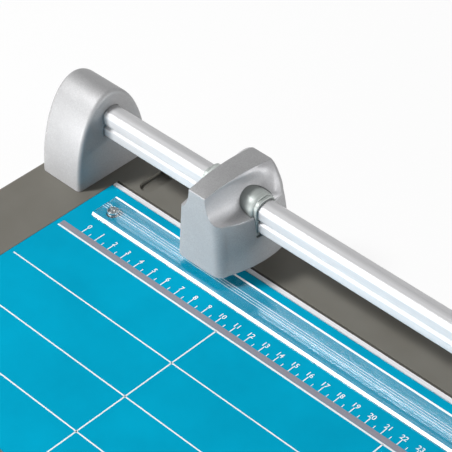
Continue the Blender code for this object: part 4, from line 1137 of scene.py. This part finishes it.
def addSky():
    # white low down and darker overhead, seen at full strength by glossy rays and weaker as light; the camera
    # and clear sheet see plain white
    world = bpy.data.worlds.new("studio")
    scene.world = world
    world.use_nodes = True
    tree = world.node_tree
    way = addNode(tree, "SeparateXYZ", {"Vector": addNode(tree, "TexCoord").outputs["Generated"]})
    levels = {1: studio["skyFrom"], 2: studio["skyTo"], 3: studio["horizon"], 4: studio["zenith"]}
    sky = addNode(tree, "MapRange", {"Value": way.outputs["Z"], **levels}, interpolation_type="SMOOTHSTEP")
    path = addNode(tree, "LightPath")
    direct = addNode(tree, "Math", {0: path.outputs["Diffuse Depth"], 1: 0.5}, operation="LESS_THAN")
    glossy = addNode(tree, "Math", {0: path.outputs["Is Glossy Ray"], 1: direct.outputs["Value"]},
                     operation="MULTIPLY")
    share = addNode(tree, "MapRange", {"Value": glossy.outputs["Value"], 3: studio["diffuse"], 4: 1.0})
    sky = addNode(tree, "Math", {0: sky.outputs["Result"], 1: share.outputs["Result"]}, operation="MULTIPLY")
    clear = addNode(tree, "Math", {0: path.outputs["Is Transmission Ray"], 1: direct.outputs["Value"]},
                    operation="MULTIPLY")
    seen = addNode(tree, "Math", {0: path.outputs["Is Camera Ray"], 1: clear.outputs["Value"]},
                   operation="MAXIMUM")
    level = addNode(tree, "Mix", {0: seen.outputs["Value"], 2: sky.outputs["Value"], 3: 1.0})
    tree.links.new(level.outputs[0], tree.nodes["Background"].inputs["Strength"])
    tree.nodes["Background"].inputs["Color"].default_value = (1, 1, 1, 1)


def addFloor():
    # a pale floor that keeps its shadow and is lifted to white for the camera, metal and glass
    half = studio["floorSize"] / 2
    corners = [(-half, -half, 0), (half, -half, 0), (half, half, 0), (-half, half, 0)]
    mesh = bpy.data.meshes.new("floor")
    mesh.from_pydata(corners, [], [(0, 1, 2, 3)])
    floor = bpy.data.objects.new("floor", mesh)
    scene.collection.objects.link(floor)
    material = bpy.data.materials.new("pale_floor")
    material.use_nodes = True
    tree = material.node_tree
    paper = tree.nodes["Principled BSDF"]
    paper.inputs["Base Color"].default_value = linearColour(studio["floorColour"])
    paper.inputs["Roughness"].default_value = studio["floorRoughness"]
    path = addNode(tree, "LightPath")
    seen = addNode(tree, "Math", {0: path.outputs["Is Camera Ray"], 1: path.outputs["Is Glossy Ray"]},
                   operation="MAXIMUM")
    seen = addNode(tree, "Math", {0: seen.outputs["Value"], 1: path.outputs["Is Transmission Ray"]},
                   operation="MAXIMUM")
    share = addNode(tree, "Math", {0: seen.outputs["Value"], 1: studio["floorGlow"]}, operation="MULTIPLY")
    glow = addNode(tree, "Emission", {"Color": (1, 1, 1, 1), "Strength": 1.0})
    mixed = addNode(tree, "MixShader", {0: share.outputs["Value"], 1: paper.outputs["BSDF"],
                                        2: glow.outputs["Emission"]})
    tree.links.new(mixed.outputs["Shader"], tree.nodes["Material Output"].inputs["Surface"])
    mesh.materials.append(material)


addCamera()
addLamps()
addSky()
addFloor()
scene.view_settings.view_transform = "Standard"
print("studio made")
